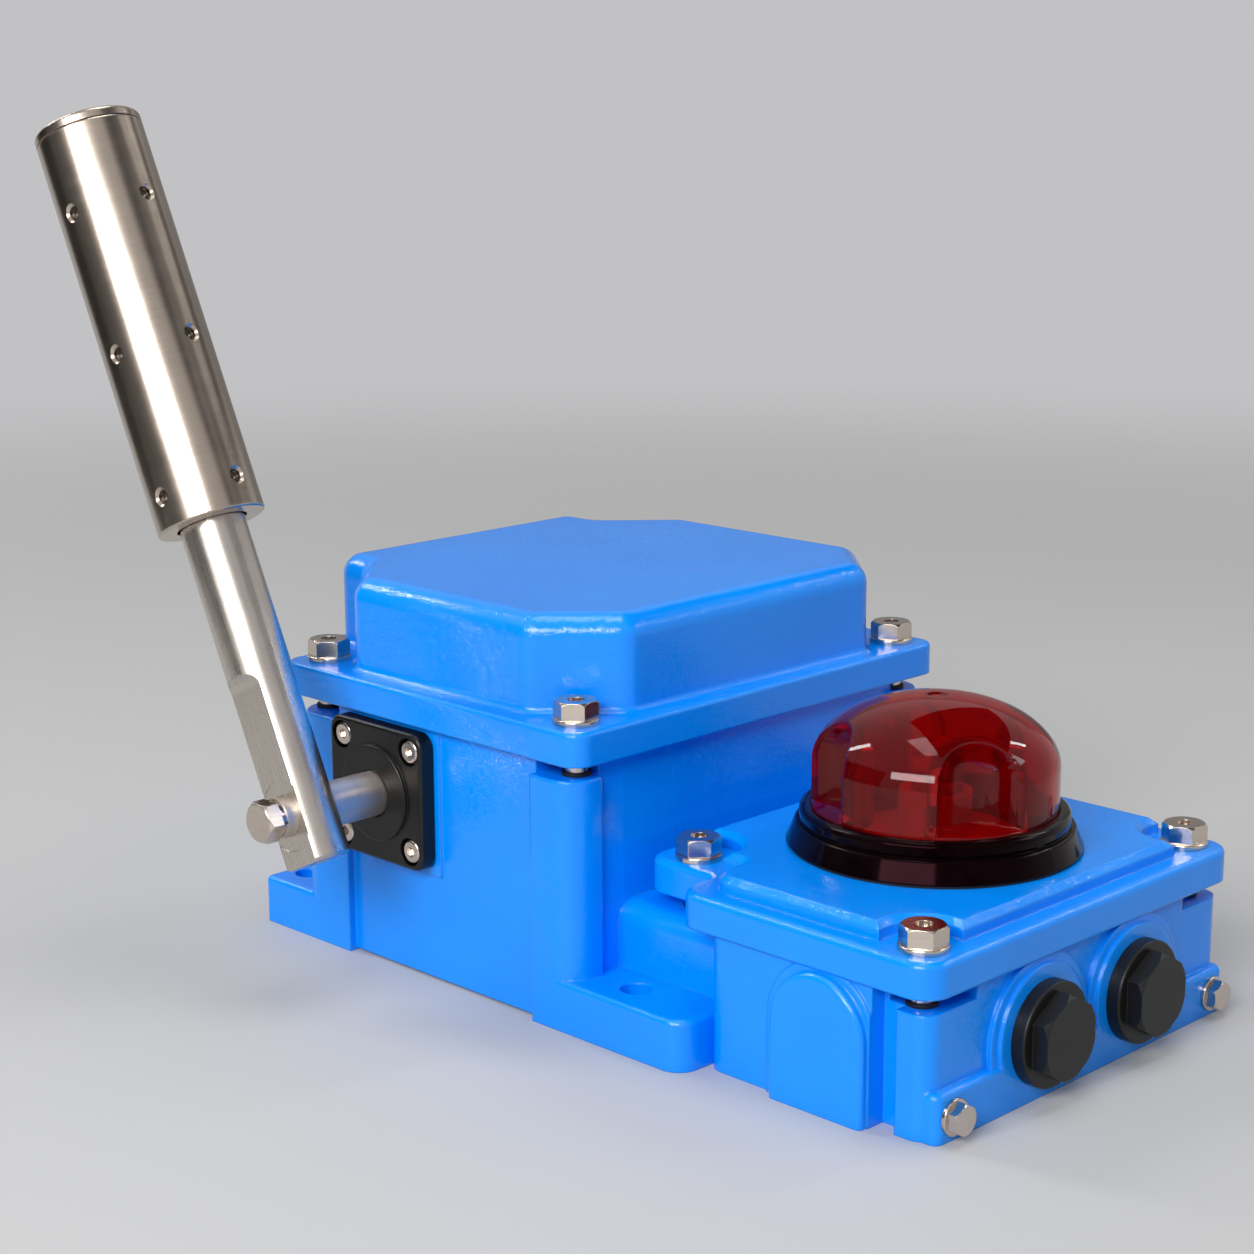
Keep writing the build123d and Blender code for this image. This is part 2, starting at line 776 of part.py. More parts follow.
def main_cover():
    """Flange and hollow dome with a locating spigot underneath."""
    flange = raised(cover_flange_outline(), chamber_rim_z, flange_top_z)
    flange = fillet(flange.faces().sort_by(Axis.Z)[-1].edges(), cover_edge_radius)
    dome = raised(dome_outline(), chamber_rim_z + 1, dome_top_z)
    dome = fillet(dome.faces().sort_by(Axis.Z)[-1].edges(), dome_top_radius)
    cover = flange + dome
    wall_lines = (Pos(0, 0, flange_top_z) * dome_outline()).edges()
    cover = fillet([edge for edge in cover.edges() if is_on_dome(edge, wall_lines)], dome_foot_radius)
    cavity = chamber_cavity_outline()
    inside = offset(cavity, -(spigot_wall + spigot_clearance), kind=Kind.ARC)
    cover -= raised(inside, chamber_rim_z - 1, flange_top_z - 1)
    cover -= raised(dome_outline(dome_wall) & inside, flange_top_z - 2, dome_top_z - dome_wall)
    spigot = offset(cavity, -spigot_clearance, kind=Kind.ARC) - inside
    cover += raised(spigot, chamber_rim_z - spigot_depth, chamber_rim_z + 1)
    for x, y in cover_bolt_places():
        cover -= rod_z(bolt_diameter / 2 + bolt_hole_clearance, chamber_rim_z - 1, flange_top_z + 1, x, y)
    return cover


def is_on_dome(edge, wall_lines):
    """True for an edge that lies along the foot of the dome's wall."""
    middle = Vertex(*tuple(edge.position_at(0.5)))
    return min(line.distance_to(middle) for line in wall_lines) < 0.01


def terminal_cover_outline(inset=0.0):
    """Plan of the terminal cover: a wide plate with a narrower tab towards the switch chamber."""
    right = terminal_bolt_right_x + terminal_cover_overhang - inset
    left = terminal_step_x + inset
    half = terminal_bolt_right_y + terminal_cover_overhang - inset
    tab_left = terminal_bolt_left_x - terminal_tab_end_margin + inset
    tab_half = terminal_bolt_left_y + terminal_tab_margin - inset
    tab_right = (left + right) / 2
    wide = Pos((left + right) / 2, 0) * RectangleRounded(right - left, 2 * half, terminal_cover_radius)
    tab = Pos((tab_left + tab_right) / 2, 0) * RectangleRounded(
        tab_right - tab_left, 2 * tab_half, terminal_tab_radius
    )
    outline = wide + tab
    for side in (-1, 1):
        corner = outline.vertices().sort_by_distance((left, side * tab_half))[0]
        outline = fillet(corner, terminal_step_radius)
    return outline


def terminal_cover():
    """Thick cover plate with a raised plateau that is hollowed round the bolts."""
    plate = raised(terminal_cover_outline(), terminal_rim_z, terminal_seat_z)
    plate = fillet(plate.faces().sort_by(Axis.Z)[-1].edges(), terminal_cover_edge_radius)
    top = terminal_cover_outline(plateau_margin)
    for x, y in terminal_bolt_places():
        top -= Pos(x, y) * Circle(plateau_scallop_radius)
    plateau = raised(top, terminal_seat_z - 1, plateau_top_z)
    plateau = chamfer(plateau.faces().sort_by(Axis.Z)[-1].edges(), plateau_slope)
    cover = plate + plateau
    recess = offset(terminal_cavity_outline(), -cover_recess_inset, kind=Kind.ARC)
    cover -= raised(recess, terminal_rim_z - 1, plateau_top_z - cover_recess_roof)
    for x, y in terminal_bolt_places():
        cover -= rod_z(bolt_diameter / 2 + bolt_hole_clearance, terminal_rim_z - 1, plateau_top_z + 1, x, y)
    for x, y in lamp_screw_places():
        cover -= rod_z(lamp_screw_diameter / 2 + thread_clearance, terminal_rim_z, plateau_top_z + 1, x, y)
    return cover - rod_z(lamp_wire_hole / 2, terminal_rim_z, plateau_top_z + 1, lamp_x, 0)


def cover_bolt(seat_z, drop):
    """Cover bolt with a dimpled head, on its washer at the given seat height."""
    length = washer_thickness + drop + bolt_engagement
    bolt = hex_bolt(bolt_diameter, bolt_across_flats, bolt_head_height, length, bolt_head_chamfer)
    dimple = rod_z(bolt_dimple_diameter / 2, bolt_head_height - bolt_dimple_depth, bolt_head_height + 1)
    return Pos(0, 0, seat_z + washer_thickness) * (bolt - dimple)


def washer(diameter, bore, thickness):
    ring = Cylinder(diameter / 2, thickness, align=(Align.CENTER, Align.CENTER, Align.MIN))
    ring = fillet(ring.edges().sort_by(Axis.Z)[-1], thickness * 0.3)
    return ring - rod_z(bore / 2, -1, thickness + 1)


def bolt_group(places, seat_z, drops):
    bolts = []
    for index, (x, y) in enumerate(places):
        turn = Rot(0, 0, bolt_first_turn + index * bolt_turn_step)
        bolts.append(Pos(x, y, 0) * turn * cover_bolt(seat_z, drops[index]))
    return bolts


def washer_group(places, seat_z):
    ring = washer(washer_diameter, washer_bore, washer_thickness)
    return [Pos(x, y, seat_z) * ring for x, y in places]


def captive_rings(places, seats):
    ring = washer(captive_ring_diameter, bolt_diameter + 2 * thread_clearance, captive_ring_height)
    return [Pos(x, y, seat) * ring for (x, y), seat in zip(places, seats)]


def bearing_flange():
    """Black flange with a raised boss, counterbored corners and a hub through the wall."""
    outline = RectangleRounded(flange_size, flange_size, flange_corner_radius)
    plate = extrude(outline, amount=flange_thickness)
    plate = fillet(plate.faces().sort_by(Axis.Z)[-1].edges(), 1.0)
    boss = rod_z(flange_boss_diameter / 2, flange_thickness - 1, flange_thickness + flange_boss_height)
    boss = fillet(boss.edges().sort_by(Axis.Z)[-1], 0.5)
    hub = rod_z(flange_hub_diameter / 2, -flange_hub_length, 1)
    bore = rod_z(flange_bore_diameter / 2, -flange_hub_length - 1, 0)
    mouth_radius = shaft_diameter / 2 + flange_mouth_clearance
    mouth = rod_z(mouth_radius, -1, flange_thickness + flange_boss_height + 1)
    flange = plate + boss + hub - bore - mouth
    half = flange_screw_spacing / 2
    for sx, sy in signs():
        sink = flange_thickness - flange_counterbore_depth
        flange -= rod_z(flange_counterbore / 2, sink, flange_thickness + 1, sx * half, sy * half)
        hole_radius = flange_screw_diameter / 2 + bolt_hole_clearance
        flange -= rod_z(hole_radius, -1, flange_thickness, sx * half, sy * half)
    return Pos(shaft_x, flange_back_y, shaft_z) * Rot(90, 0, 0) * flange


def flange_gasket():
    outline = RectangleRounded(flange_size - 1, flange_size - 1, flange_corner_radius)
    outline -= Circle(flange_hub_diameter / 2 + bolt_hole_clearance)
    half = flange_screw_spacing / 2
    for sx, sy in signs():
        outline -= Pos(sx * half, sy * half) * Circle(flange_screw_diameter / 2 + bolt_hole_clearance)
    sheet = extrude(outline, amount=flange_gasket_thickness)
    return Pos(shaft_x, flange_back_y + flange_gasket_thickness, shaft_z) * Rot(90, 0, 0) * sheet


def flange_screws():
    """Button screws seated in the counterbores of the bearing flange."""
    head = rod_z(flange_screw_head / 2, 0, flange_screw_head_height)
    head = fillet(head.edges().sort_by(Axis.Z)[-1], 0.9)
    head -= extrude(RegularPolygon(1.4, 6), amount=5).moved(Location((0, 0, flange_screw_head_height - 1.2)))
    screw = head + rod_z(flange_screw_diameter / 2, -flange_screw_length, 0)
    seat_y = flange_front_y + flange_counterbore_depth
    return [Pos(x, seat_y, z) * Rot(90, 0, 0) * screw for x, z in flange_screw_places()]


def sleeve_y(outer, inner, low, high):
    return rod_y(outer, low, high, shaft_x, shaft_z) - rod_y(inner, low - 1, high + 1, shaft_x, shaft_z)


def shaft_seal():
    bore = shaft_diameter / 2 + 2 * running_clearance
    return sleeve_y(flange_bore_diameter / 2, bore, flange_back_y, flange_back_y + seal_thickness)


def shaft_bush():
    start = flange_back_y + seal_thickness
    bore = shaft_diameter / 2 + running_clearance
    return sleeve_y(flange_bore_diameter / 2, bore, start, start + bush_length)


def rear_bush():
    bore = shaft_diameter / 2 + running_clearance
    sleeve = sleeve_y(rear_bush_diameter / 2, bore, rear_upright_y, rear_face_y)
    shoulder = sleeve_y(rear_bush_shoulder / 2, bore, rear_face_y, rear_face_y + rear_bush_shoulder_height)
    return sleeve + shoulder


def shaft_ring_y():
    return rear_face_y + rear_bush_shoulder_height + follower_gap


def lever_shaft():
    """Stepped shaft: reduced end through the lever, tapped for its bolt, grooved tail."""
    shaft = rod_y(shaft_diameter / 2, lever_back_y, shaft_tail_y, shaft_x, shaft_z)
    shaft = chamfer(shaft.edges().sort_by(Axis.Y)[-1], 0.8)
    shaft += rod_y(shaft_end_diameter / 2, shaft_end_y, lever_back_y, shaft_x, shaft_z)
    hole = shaft_bolt_diameter / 2 + thread_clearance
    shaft -= rod_y(hole, shaft_end_y - 1, shaft_end_y + shaft_bolt_length, shaft_x, shaft_z)
    groove = sleeve_y(
        shaft_diameter, shaft_diameter / 2 - retaining_groove_depth,
        shaft_ring_y(), shaft_ring_y() + retaining_ring_thickness,
    )
    return shaft - groove


def open_ring(inner_radius, outer_radius, thickness):
    """Retaining ring with its gap towards +X."""
    ring = Circle(outer_radius) - Circle(inner_radius)
    ring -= Pos(outer_radius, 0) * Rectangle(2 * outer_radius, inner_radius * 0.7)
    return extrude(ring, amount=thickness)


def shaft_retaining_ring():
    inner = shaft_diameter / 2 - retaining_groove_depth
    ring = open_ring(inner, inner + retaining_ring_width, retaining_ring_thickness)
    return Pos(shaft_x, shaft_ring_y() + retaining_ring_thickness, shaft_z) * Rot(90, 0, 0) * ring


def on_lever(shape):
    """Place a shape drawn along +Z from the shaft axis at the lever's lean."""
    return Pos(shaft_x, lever_y, shaft_z) * Rot(0, -lever_lean, 0) * shape


def lever_arm():
    """Round bar milled flat at its foot, with a turned journal for the roller."""
    journal_start = roller_start + journal_start_gap
    arm = rod_z(lever_rod_diameter / 2, -lever_foot_length, journal_start)
    journal_end = lever_ring_z() + retaining_ring_thickness + journal_tail
    arm += rod_z(journal_diameter / 2, journal_start - 1, journal_end)
    arm = chamfer(arm.edges().group_by(Axis.Z)[0], 0.8)
    ring_z = lever_ring_z()
    groove = rod_z(lever_rod_diameter, ring_z, ring_z + retaining_ring_thickness)
    groove -= rod_z(journal_diameter / 2 - retaining_groove_depth, ring_z - 1, ring_z + 2)
    arm -= groove
    for side in (-1, 1):
        arm -= milling_cut(side)
    arm -= rod_y(shaft_end_diameter / 2, -lever_rod_diameter, lever_rod_diameter)
    spot_low = -lever_rod_diameter
    spot_high = -lever_flat_thickness / 2 + spotface_depth
    arm -= rod_y(spotface_diameter / 2, spot_low, spot_high)
    arm -= rod_z(foot_screw_diameter / 2 + thread_clearance, -lever_foot_length - 1, 0)
    return on_lever(arm)


def milling_cut(side):
    """Cutter path on one side of the lever foot, with the cutter's radius at its end."""
    depth = lever_rod_diameter / 2
    flat = lever_flat_thickness / 2
    far = depth + 2 * cutter_radius
    start = -lever_foot_length - 5
    profile = Polyline(
        (flat, start), (far, start), (far, lever_flat_length), (flat, lever_flat_length),
        close=True,
    )
    face = make_face(profile)
    corner = face.vertices().sort_by_distance((lever_flat_thickness / 2, lever_flat_length))[0]
    face = fillet(corner, cutter_radius)
    cut = extrude(face, amount=lever_rod_diameter, both=True)
    return Rot(0, 0, side * 90) * Rot(90, 0, 0) * cut


def lever_ring_z():
    return roller_hole_stations()[-1] + roller_bush_length / 2 + roller_end_play


def roller_retaining_ring():
    inner = journal_diameter / 2 - retaining_groove_depth
    ring = open_ring(inner, inner + retaining_ring_width - 1, retaining_ring_thickness)
    return on_lever(Pos(0, 0, lever_ring_z()) * ring)


def lever_spring_washer():
    ring = Circle(spring_washer_diameter / 2) - Circle(shaft_bolt_diameter / 2 + thread_clearance)
    ring -= Pos(spring_washer_diameter / 2, 0) * Rectangle(spring_washer_diameter / 2, 0.8)
    return Pos(shaft_x, shaft_end_y, shaft_z) * Rot(90, 0, 0) * extrude(ring, amount=spring_washer_thickness)


def lever_bolt():
    length = shaft_bolt_length + spring_washer_thickness - 1
    bolt = hex_bolt(shaft_bolt_diameter, shaft_bolt_flats, shaft_bolt_head, length, 0.9)
    return Pos(shaft_x, shaft_end_y - spring_washer_thickness, shaft_z) * Rot(90, 0, 0) * bolt


def lever_set_screw():
    length = lever_foot_length - foot_screw_sink - shaft_end_diameter / 2
    screw = socket_screw(foot_screw_diameter, length, foot_screw_socket)
    return on_lever(Pos(0, 0, foot_screw_sink - lever_foot_length) * screw)


def roller_hole_stations():
    return [roller_start + roller_hole_first + row * roller_hole_pitch for row in range(roller_hole_rows)]


def roller_hole_angles():
    step = 360 / roller_hole_columns
    return [roller_hole_angle - 90 + column * step for column in range(roller_hole_columns)]


def roller_tube():
    """Thick tube with rows of countersunk tapped holes for the bush screws."""
    outer = roller_diameter / 2
    tube = rod_z(outer, roller_start, roller_end)
    tube = fillet(tube.edges(), roller_end_radius)
    tube -= rod_z(roller_bore / 2, roller_start - 1, roller_end + 1)
    roller_hole_radius = roller_hole_diameter / 2
    sink = roller_hole_countersink / 2 - roller_hole_radius
    profile = Polyline(
        (0, roller_bore / 4), (roller_hole_radius, roller_bore / 4), (roller_hole_radius, outer - sink),
        (roller_hole_radius + 1.5 * sink, outer + sink / 2), (0, outer + sink / 2), close=True,
    )
    hole = Rot(0, 90, 0) * revolve(Plane.XZ * make_face(profile), Axis.Z, 360)
    for z in roller_hole_stations():
        for angle in roller_hole_angles():
            tube -= Pos(0, 0, z) * Rot(0, 0, angle) * hole
    return on_lever(tube)


def roller_grub_screws():
    """Short screws in the tapped holes, bearing on the bushes."""
    screw = socket_screw(roller_hole_diameter - 2 * thread_clearance, grub_screw_length, grub_screw_socket)
    screws = []
    for z in roller_hole_stations():
        for angle in roller_hole_angles():
            turned = Rot(0, 0, angle) * Pos(roller_bore / 2 + grub_screw_length, 0, 0) * Rot(0, -90, 0)
            screws.append(on_lever(Pos(0, 0, z) * turned * screw))
    return screws


def roller_bushes():
    """Plain bushes pressed into the tube at each row of screws."""
    bushes = []
    bore = journal_diameter / 2 + running_clearance
    half = roller_bush_length / 2
    for z in roller_hole_stations():
        low = max(z - half, roller_start + journal_start_gap + roller_end_play)
        sleeve = rod_z(roller_bore / 2, low, z + half) - rod_z(bore, low - 1, z + half + 1)
        bushes.append(on_lever(sleeve))
    return bushes


def roller_cap():
    cap = rod_z(roller_diameter / 2, roller_end, roller_end + roller_cap_thickness)
    cap = fillet(cap.edges().sort_by(Axis.Z)[-1], roller_cap_edge)
    cap += rod_z(roller_bore / 2, roller_end - roller_cap_spigot, roller_end)
    return on_lever(cap)


def mechanism_frame():
    """Base plate with two uprights: one carries the switches, the other the rear bush."""
    base = block((frame_left_x, switch_upright_y, frame_seat_z), (frame_right_x, rear_face_y, frame_top_z))
    frame = base
    for y in (switch_upright_y, rear_upright_y):
        high = (upright_right_x, y + upright_thickness, upright_top_z)
        frame += block((upright_left_x, y, frame_seat_z), high)
    frame -= rod_y(shaft_diameter / 2 + 0.5, switch_upright_y - 1, switch_face_y + 1, shaft_x, shaft_z)
    frame -= rod_y(rear_bush_diameter / 2, rear_upright_y - 1, rear_face_y + 1, shaft_x, shaft_z)
    frame -= rod_y(
        spring_wire / 2 + tang_clearance, switch_upright_y - 1, switch_face_y + 1,
        shaft_x + spring_mean_radius, shaft_z,
    )
    for x, z in microswitch_screw_places():
        radius = microswitch_screw_diameter / 2 + thread_clearance
        frame -= rod_y(radius, switch_upright_y - 1, switch_face_y + 1, x, z)
    for x, y in frame_screw_places():
        radius = frame_screw_diameter / 2 + bolt_hole_clearance
        frame -= rod_z(radius, frame_seat_z - 1, frame_top_z + 1, x, y)
    return frame


def frame_screws():
    head = rod_z(frame_screw_head / 2, 0, frame_screw_head_height)
    head = fillet(head.edges().sort_by(Axis.Z)[-1], 0.8)
    screw = head + rod_z(frame_screw_diameter / 2, -frame_screw_length, 0)
    return [Pos(x, y, frame_top_z) * screw for x, y in frame_screw_places()]


def drive_collar():
    """Collar on the shaft that takes the moving end of the return spring."""
    collar = rod_y(collar_diameter / 2, collar_y, collar_y + collar_width, shaft_x, shaft_z)
    collar = chamfer(collar.edges(), 0.6)
    collar -= rod_y(shaft_diameter / 2, collar_y - 1, collar_y + collar_width + 1, shaft_x, shaft_z)
    screw_z = shaft_z + collar_diameter / 2
    return collar - rod_z(2 + thread_clearance, shaft_z, screw_z + 1, shaft_x, collar_y + collar_width / 2)


def collar_screw():
    length = (collar_diameter - shaft_diameter) / 2 - 0.5
    screw = socket_screw(4, length, 2.0)
    top = shaft_z + shaft_diameter / 2 + length
    return Pos(shaft_x, collar_y + collar_width / 2, top) * Rot(180, 0, 0) * screw


def return_spring():
    """Torsion spring round the shaft, its straight ends in the collar and in the frame."""
    section = spring_wire / 2
    height = spring_turns * spring_pitch
    coil_path = Helix(pitch=spring_pitch, height=height, radius=spring_mean_radius)
    start = Plane(origin=coil_path @ 0, z_dir=coil_path % 0)
    coil = sweep(start * Circle(section), path=coil_path, is_frenet=True)
    place = Pos(shaft_x, spring_start_y, shaft_z) * Rot(-90, 0, 0)
    wire = place * coil
    x = shaft_x + spring_mean_radius
    moving_end = rod_y(section, collar_y + collar_width + tang_gap, spring_start_y, x, shaft_z)
    fixed_end = rod_y(section, spring_end_y, switch_upright_y + upright_thickness - 0.4, x, shaft_z)
    bends = Pos(x, spring_start_y, shaft_z) * Sphere(section)
    bends += Pos(x, spring_end_y, shaft_z) * Sphere(section)
    return wire + moving_end + fixed_end + bends


def cam_disc(half_angle, middle_y):
    """Cam whose lobe faces its switch at rest."""
    reach = cam_lobe_radius * 2
    spread = radians(half_angle)
    wedge = make_face(Polyline(
        (0, 0), (reach * cos(spread), -reach * sin(spread)), (reach * cos(spread), reach * sin(spread)),
        close=True,
    ))
    outline = Circle(cam_base_radius) + (Circle(cam_lobe_radius) & wedge)
    outline -= Circle(shaft_diameter / 2)
    disc = extrude(outline, amount=cam_width / 2, both=True)
    disc = Pos(shaft_x, middle_y, shaft_z) * Rot(90, 0, 0) * disc
    hole_radius = cam_screw_diameter / 2 + thread_clearance
    hole = rod_x(hole_radius, shaft_x - 2 * cam_base_radius, shaft_x, middle_y, shaft_z)
    return disc - hole


def switch_middles():
    first = switch_face_y + microswitch_width / 2
    return [first, first + microswitch_width]


def cam_screws():
    """One clamp screw in the back of each cam."""
    length = cam_base_radius - shaft_diameter / 2 - 0.4
    screw = socket_screw(cam_screw_diameter, length, 1.5)
    left = shaft_x - shaft_diameter / 2 - length
    return [Pos(left, y, shaft_z) * Rot(0, 90, 0) * screw for y in switch_middles()]


def microswitch_low_z():
    return shaft_z - microswitch_drop - microswitch_height / 2


def follower_x():
    return shaft_x + cam_lobe_radius + follower_gap + follower_radius


def microswitch_x():
    return follower_x() + follower_radius + microswitch_offset


def microswitch_screw_places():
    middle_z = microswitch_low_z() + microswitch_height / 2
    x = microswitch_x() + microswitch_depth - 2.9
    return [(x, middle_z + side * microswitch_hole_spacing / 2) for side in (-1, 1)]


def microswitch(middle_y):
    """Switch body with its plunger, terminal blades and two through holes."""
    x = microswitch_x()
    low_z = microswitch_low_z()
    half = microswitch_width / 2
    body = block(
        (x, middle_y - half, low_z), (x + microswitch_depth, middle_y + half, low_z + microswitch_height)
    )
    body = chamfer(body.edges().filter_by(Axis.Y), 0.6)
    plunger_z = low_z + microswitch_height * 0.62
    body += rod_x(1.2, x - 0.9, x + 1, middle_y, plunger_z)
    for step in (0.2, 0.5, 0.8):
        blade_z = low_z + microswitch_height * step
        body += block(
            (x + microswitch_depth - 1, middle_y - 0.4, blade_z - 1.6),
            (x + microswitch_depth + microswitch_blade_length, middle_y + 0.4, blade_z + 1.6),
        )
    for screw_x, screw_z in microswitch_screw_places():
        radius = microswitch_screw_diameter / 2 + thread_clearance
        body -= rod_y(radius, middle_y - microswitch_width, middle_y + microswitch_width, screw_x, screw_z)
    return body


def follower_arms():
    """Leaf from the foot of each switch up to its roller."""
    arms = []
    x = microswitch_x()
    low_z = microswitch_low_z()
    for y in switch_middles():
        pivot = block((x - 1.8, y - 1.8, low_z + 1), (x, y + 1.8, low_z + 3))
        leaf_x = x - 0.9 - follower_arm_thickness
        leaf = block((leaf_x, y - 1.8, low_z + 1), (leaf_x + follower_arm_thickness, y + 1.8, shaft_z - 2))
        fork_x = follower_x()
        fork = block((fork_x - 0.8, y + 1.9, shaft_z - 2.8), (x - 0.9, y + 2.5, shaft_z + 1.2))
        fork += block((leaf_x, y + 1.7, shaft_z - 2.8), (x - 0.9, y + 2.5, shaft_z - 2))
        pin = rod_y(0.6, y - 1.8, y + 2.5, fork_x, shaft_z)
        arms.append(pivot + leaf + fork + pin)
    return arms


def follower_rollers():
    rollers = []
    for y in switch_middles():
        low = y - follower_width / 2
        wheel = rod_y(follower_radius, low, low + follower_width, follower_x(), shaft_z)
        bore = rod_y(0.6 + running_clearance, low - 1, low + follower_width + 1, follower_x(), shaft_z)
        rollers.append(wheel - bore)
    return rollers


def microswitch_screws():
    """Long screws that clamp both switches to the upright."""
    screws = []
    far_y = switch_face_y + 2 * microswitch_width
    for x, z in microswitch_screw_places():
        head = rod_y(microswitch_screw_head / 2, far_y, far_y + microswitch_screw_head_height, x, z)
        screws.append(head + rod_y(microswitch_screw_diameter / 2, switch_upright_y, far_y, x, z))
    return screws


def turned(points, rounds=()):
    """Turn a closed outline of (radius, height) points about the lamp axis, rounding some corners."""
    face = make_face(Plane.XZ * Polyline(*points, close=True))
    for radius, height, size in rounds:
        corner = face.vertices().sort_by_distance((radius, 0, height))[0]
        face = fillet(corner, size)
    return Pos(lamp_x, 0, 0) * revolve(face, Axis.Z, 360)


def lamp_base_ring():
    """Ring with a sloping skirt and a rounded roll above it that holds the lens."""
    low = ring_base_z
    seat = lamp_seat_radius
    skirt_top = low + lamp_skirt_height
    top = low + lamp_ring_height
    roll = lamp_roll_radius
    valley = roll - lamp_valley_depth
    bore = lens_radius + lens_clearance
    ring = turned([
        (seat, low), (lamp_ring_radius, low), (lamp_skirt_top_radius, skirt_top), (valley, skirt_top),
        (roll, skirt_top + 2 * lamp_valley_depth), (roll, top), (bore, top),
        (bore, lens_base_z), (seat, lens_base_z),
    ], [(lamp_skirt_top_radius, skirt_top, lamp_ring_edge_radius), (roll, top, lamp_roll_edge_radius)])
    for x, y in lamp_screw_places():
        radius = lamp_screw_diameter / 2 + thread_clearance
        ring -= rod_z(radius, low - 1, low + lamp_screw_bite, x, y)
    return ring


def lamp_gasket():
    """Flat gasket between the plateau and the lamp ring."""
    outer = lamp_ring_radius - lamp_gasket_inset
    sheet = rod_z(outer, plateau_top_z, ring_base_z, lamp_x, 0)
    sheet -= rod_z(lamp_seat_radius, plateau_top_z - 1, ring_base_z + 1, lamp_x, 0)
    for x, y in lamp_screw_places():
        sheet -= rod_z(lamp_screw_diameter / 2 + thread_clearance, plateau_top_z - 1, lens_base_z, x, y)
    return sheet


def lens_body(inset, base_z):
    """Turned lens form: a short cylinder under an elliptical dome."""
    radius = lens_radius - inset
    rise = lens_dome_rise - inset
    height = lens_shoulder_z - base_z
    wall_half = Pos(radius / 2, base_z + height / 2) * Rectangle(radius, height)
    quadrant = Pos(radius / 2, lens_shoulder_z + rise / 2) * Rectangle(radius, rise)
    dome_half = (Pos(0, lens_shoulder_z) * Ellipse(radius, rise)) & quadrant
    return revolve(Plane.XZ * (wall_half + dome_half), Axis.Z, 360)


def scallop_cutters(extra, floor_z):
    """Round-topped upright grooves spaced round the lens."""
    radius = scallop_radius + extra
    center = lens_radius - scallop_depth + scallop_radius
    top = lens_crown_z - scallop_top_below_crown
    cutters = []
    for index in range(scallop_count):
        turn = Rot(0, 0, scallop_angle + index * 360 / scallop_count)
        cutter = rod_z(radius, floor_z, top, center, 0) + Pos(center, 0, top) * Sphere(radius)
        cutters.append(turn * cutter)
    return cutters


def is_scallop_rim(edge):
    """True for an edge that lies on the outer face of the lens."""
    middle = edge.position_at(0.5)
    radius = sqrt(middle.X ** 2 + middle.Y ** 2)
    if middle.Z < lens_shoulder_z:
        return abs(radius - lens_radius) < 0.01
    return abs((radius / lens_radius) ** 2 + ((middle.Z - lens_shoulder_z) / lens_dome_rise) ** 2 - 1) < 0.001


def lamp_lens():
    """Thin-walled red lens with four finger scallops above its seating lip."""
    lip_z = ring_base_z + lamp_ring_height + lens_lip_height
    outer = lens_body(0, lens_base_z) - scallop_cutters(0, lip_z)
    rims = [edge for edge in outer.edges() if edge.center().Z > lip_z + 1 and edge.length > lens_wall]
    rims = [edge for edge in rims if is_scallop_rim(edge)]
    outer = fillet(rims, scallop_edge_radius)
    inner = lens_body(lens_wall, lens_base_z - 1) - scallop_cutters(lens_wall, lip_z - lens_wall)
    nub = Cone(lens_nub_tip_diameter / 2, lens_nub_diameter / 2, lens_nub_length)
    nub_z = lens_crown_z - lens_wall - lens_nub_length / 2 + 0.2
    gate = rod_z(lens_gate_diameter / 2, lens_crown_z - lens_gate_depth, lens_crown_z + 1)
    return Pos(lamp_x, 0, 0) * (outer - inner + Pos(0, 0, nub_z) * nub - gate)


def lamp_holder():
    plate_z = plateau_top_z
    holder = rod_z(lamp_plate_radius, plate_z, plate_z + lamp_plate_thickness, lamp_x, 0)
    top = plate_z + lamp_plate_thickness + lamp_holder_height
    holder += rod_z(lamp_holder_radius, plate_z, top, lamp_x, 0)
    holder += rod_z(lamp_wire_hole / 2 - 0.3, plateau_top_z - cover_recess_roof, plate_z, lamp_x, 0)
    return holder - rod_z(bulb_radius - 1, top - lamp_socket_depth, top + 1, lamp_x, 0)


def lamp_bulb():
    base_z = plateau_top_z + lamp_plate_thickness + lamp_holder_height
    glass = rod_z(bulb_radius, base_z, base_z + bulb_height - bulb_radius, lamp_x, 0)
    glass += Pos(lamp_x, 0, base_z + bulb_height - bulb_radius) * Sphere(bulb_radius)
    return glass + rod_z(bulb_radius - 1, base_z - 5, base_z, lamp_x, 0)


def lamp_screw_places():
    places = []
    for index in range(lamp_screw_count):
        angle = radians(lamp_screw_first_angle + index * lamp_screw_angle_step)
        places.append((lamp_x + lamp_screw_circle * cos(angle), lamp_screw_circle * sin(angle)))
    return places


def lamp_screws():
    """Screws from inside the terminal cover up into the lamp base ring."""
    roof_z = plateau_top_z - cover_recess_roof
    shank = rod_z(lamp_screw_diameter / 2, roof_z, ring_base_z + lamp_screw_bite - 0.5)
    head = rod_z(lamp_screw_head / 2, roof_z - lamp_screw_head_height, roof_z)
    return [Pos(x, y, 0) * (shank + head) for x, y in lamp_screw_places()]


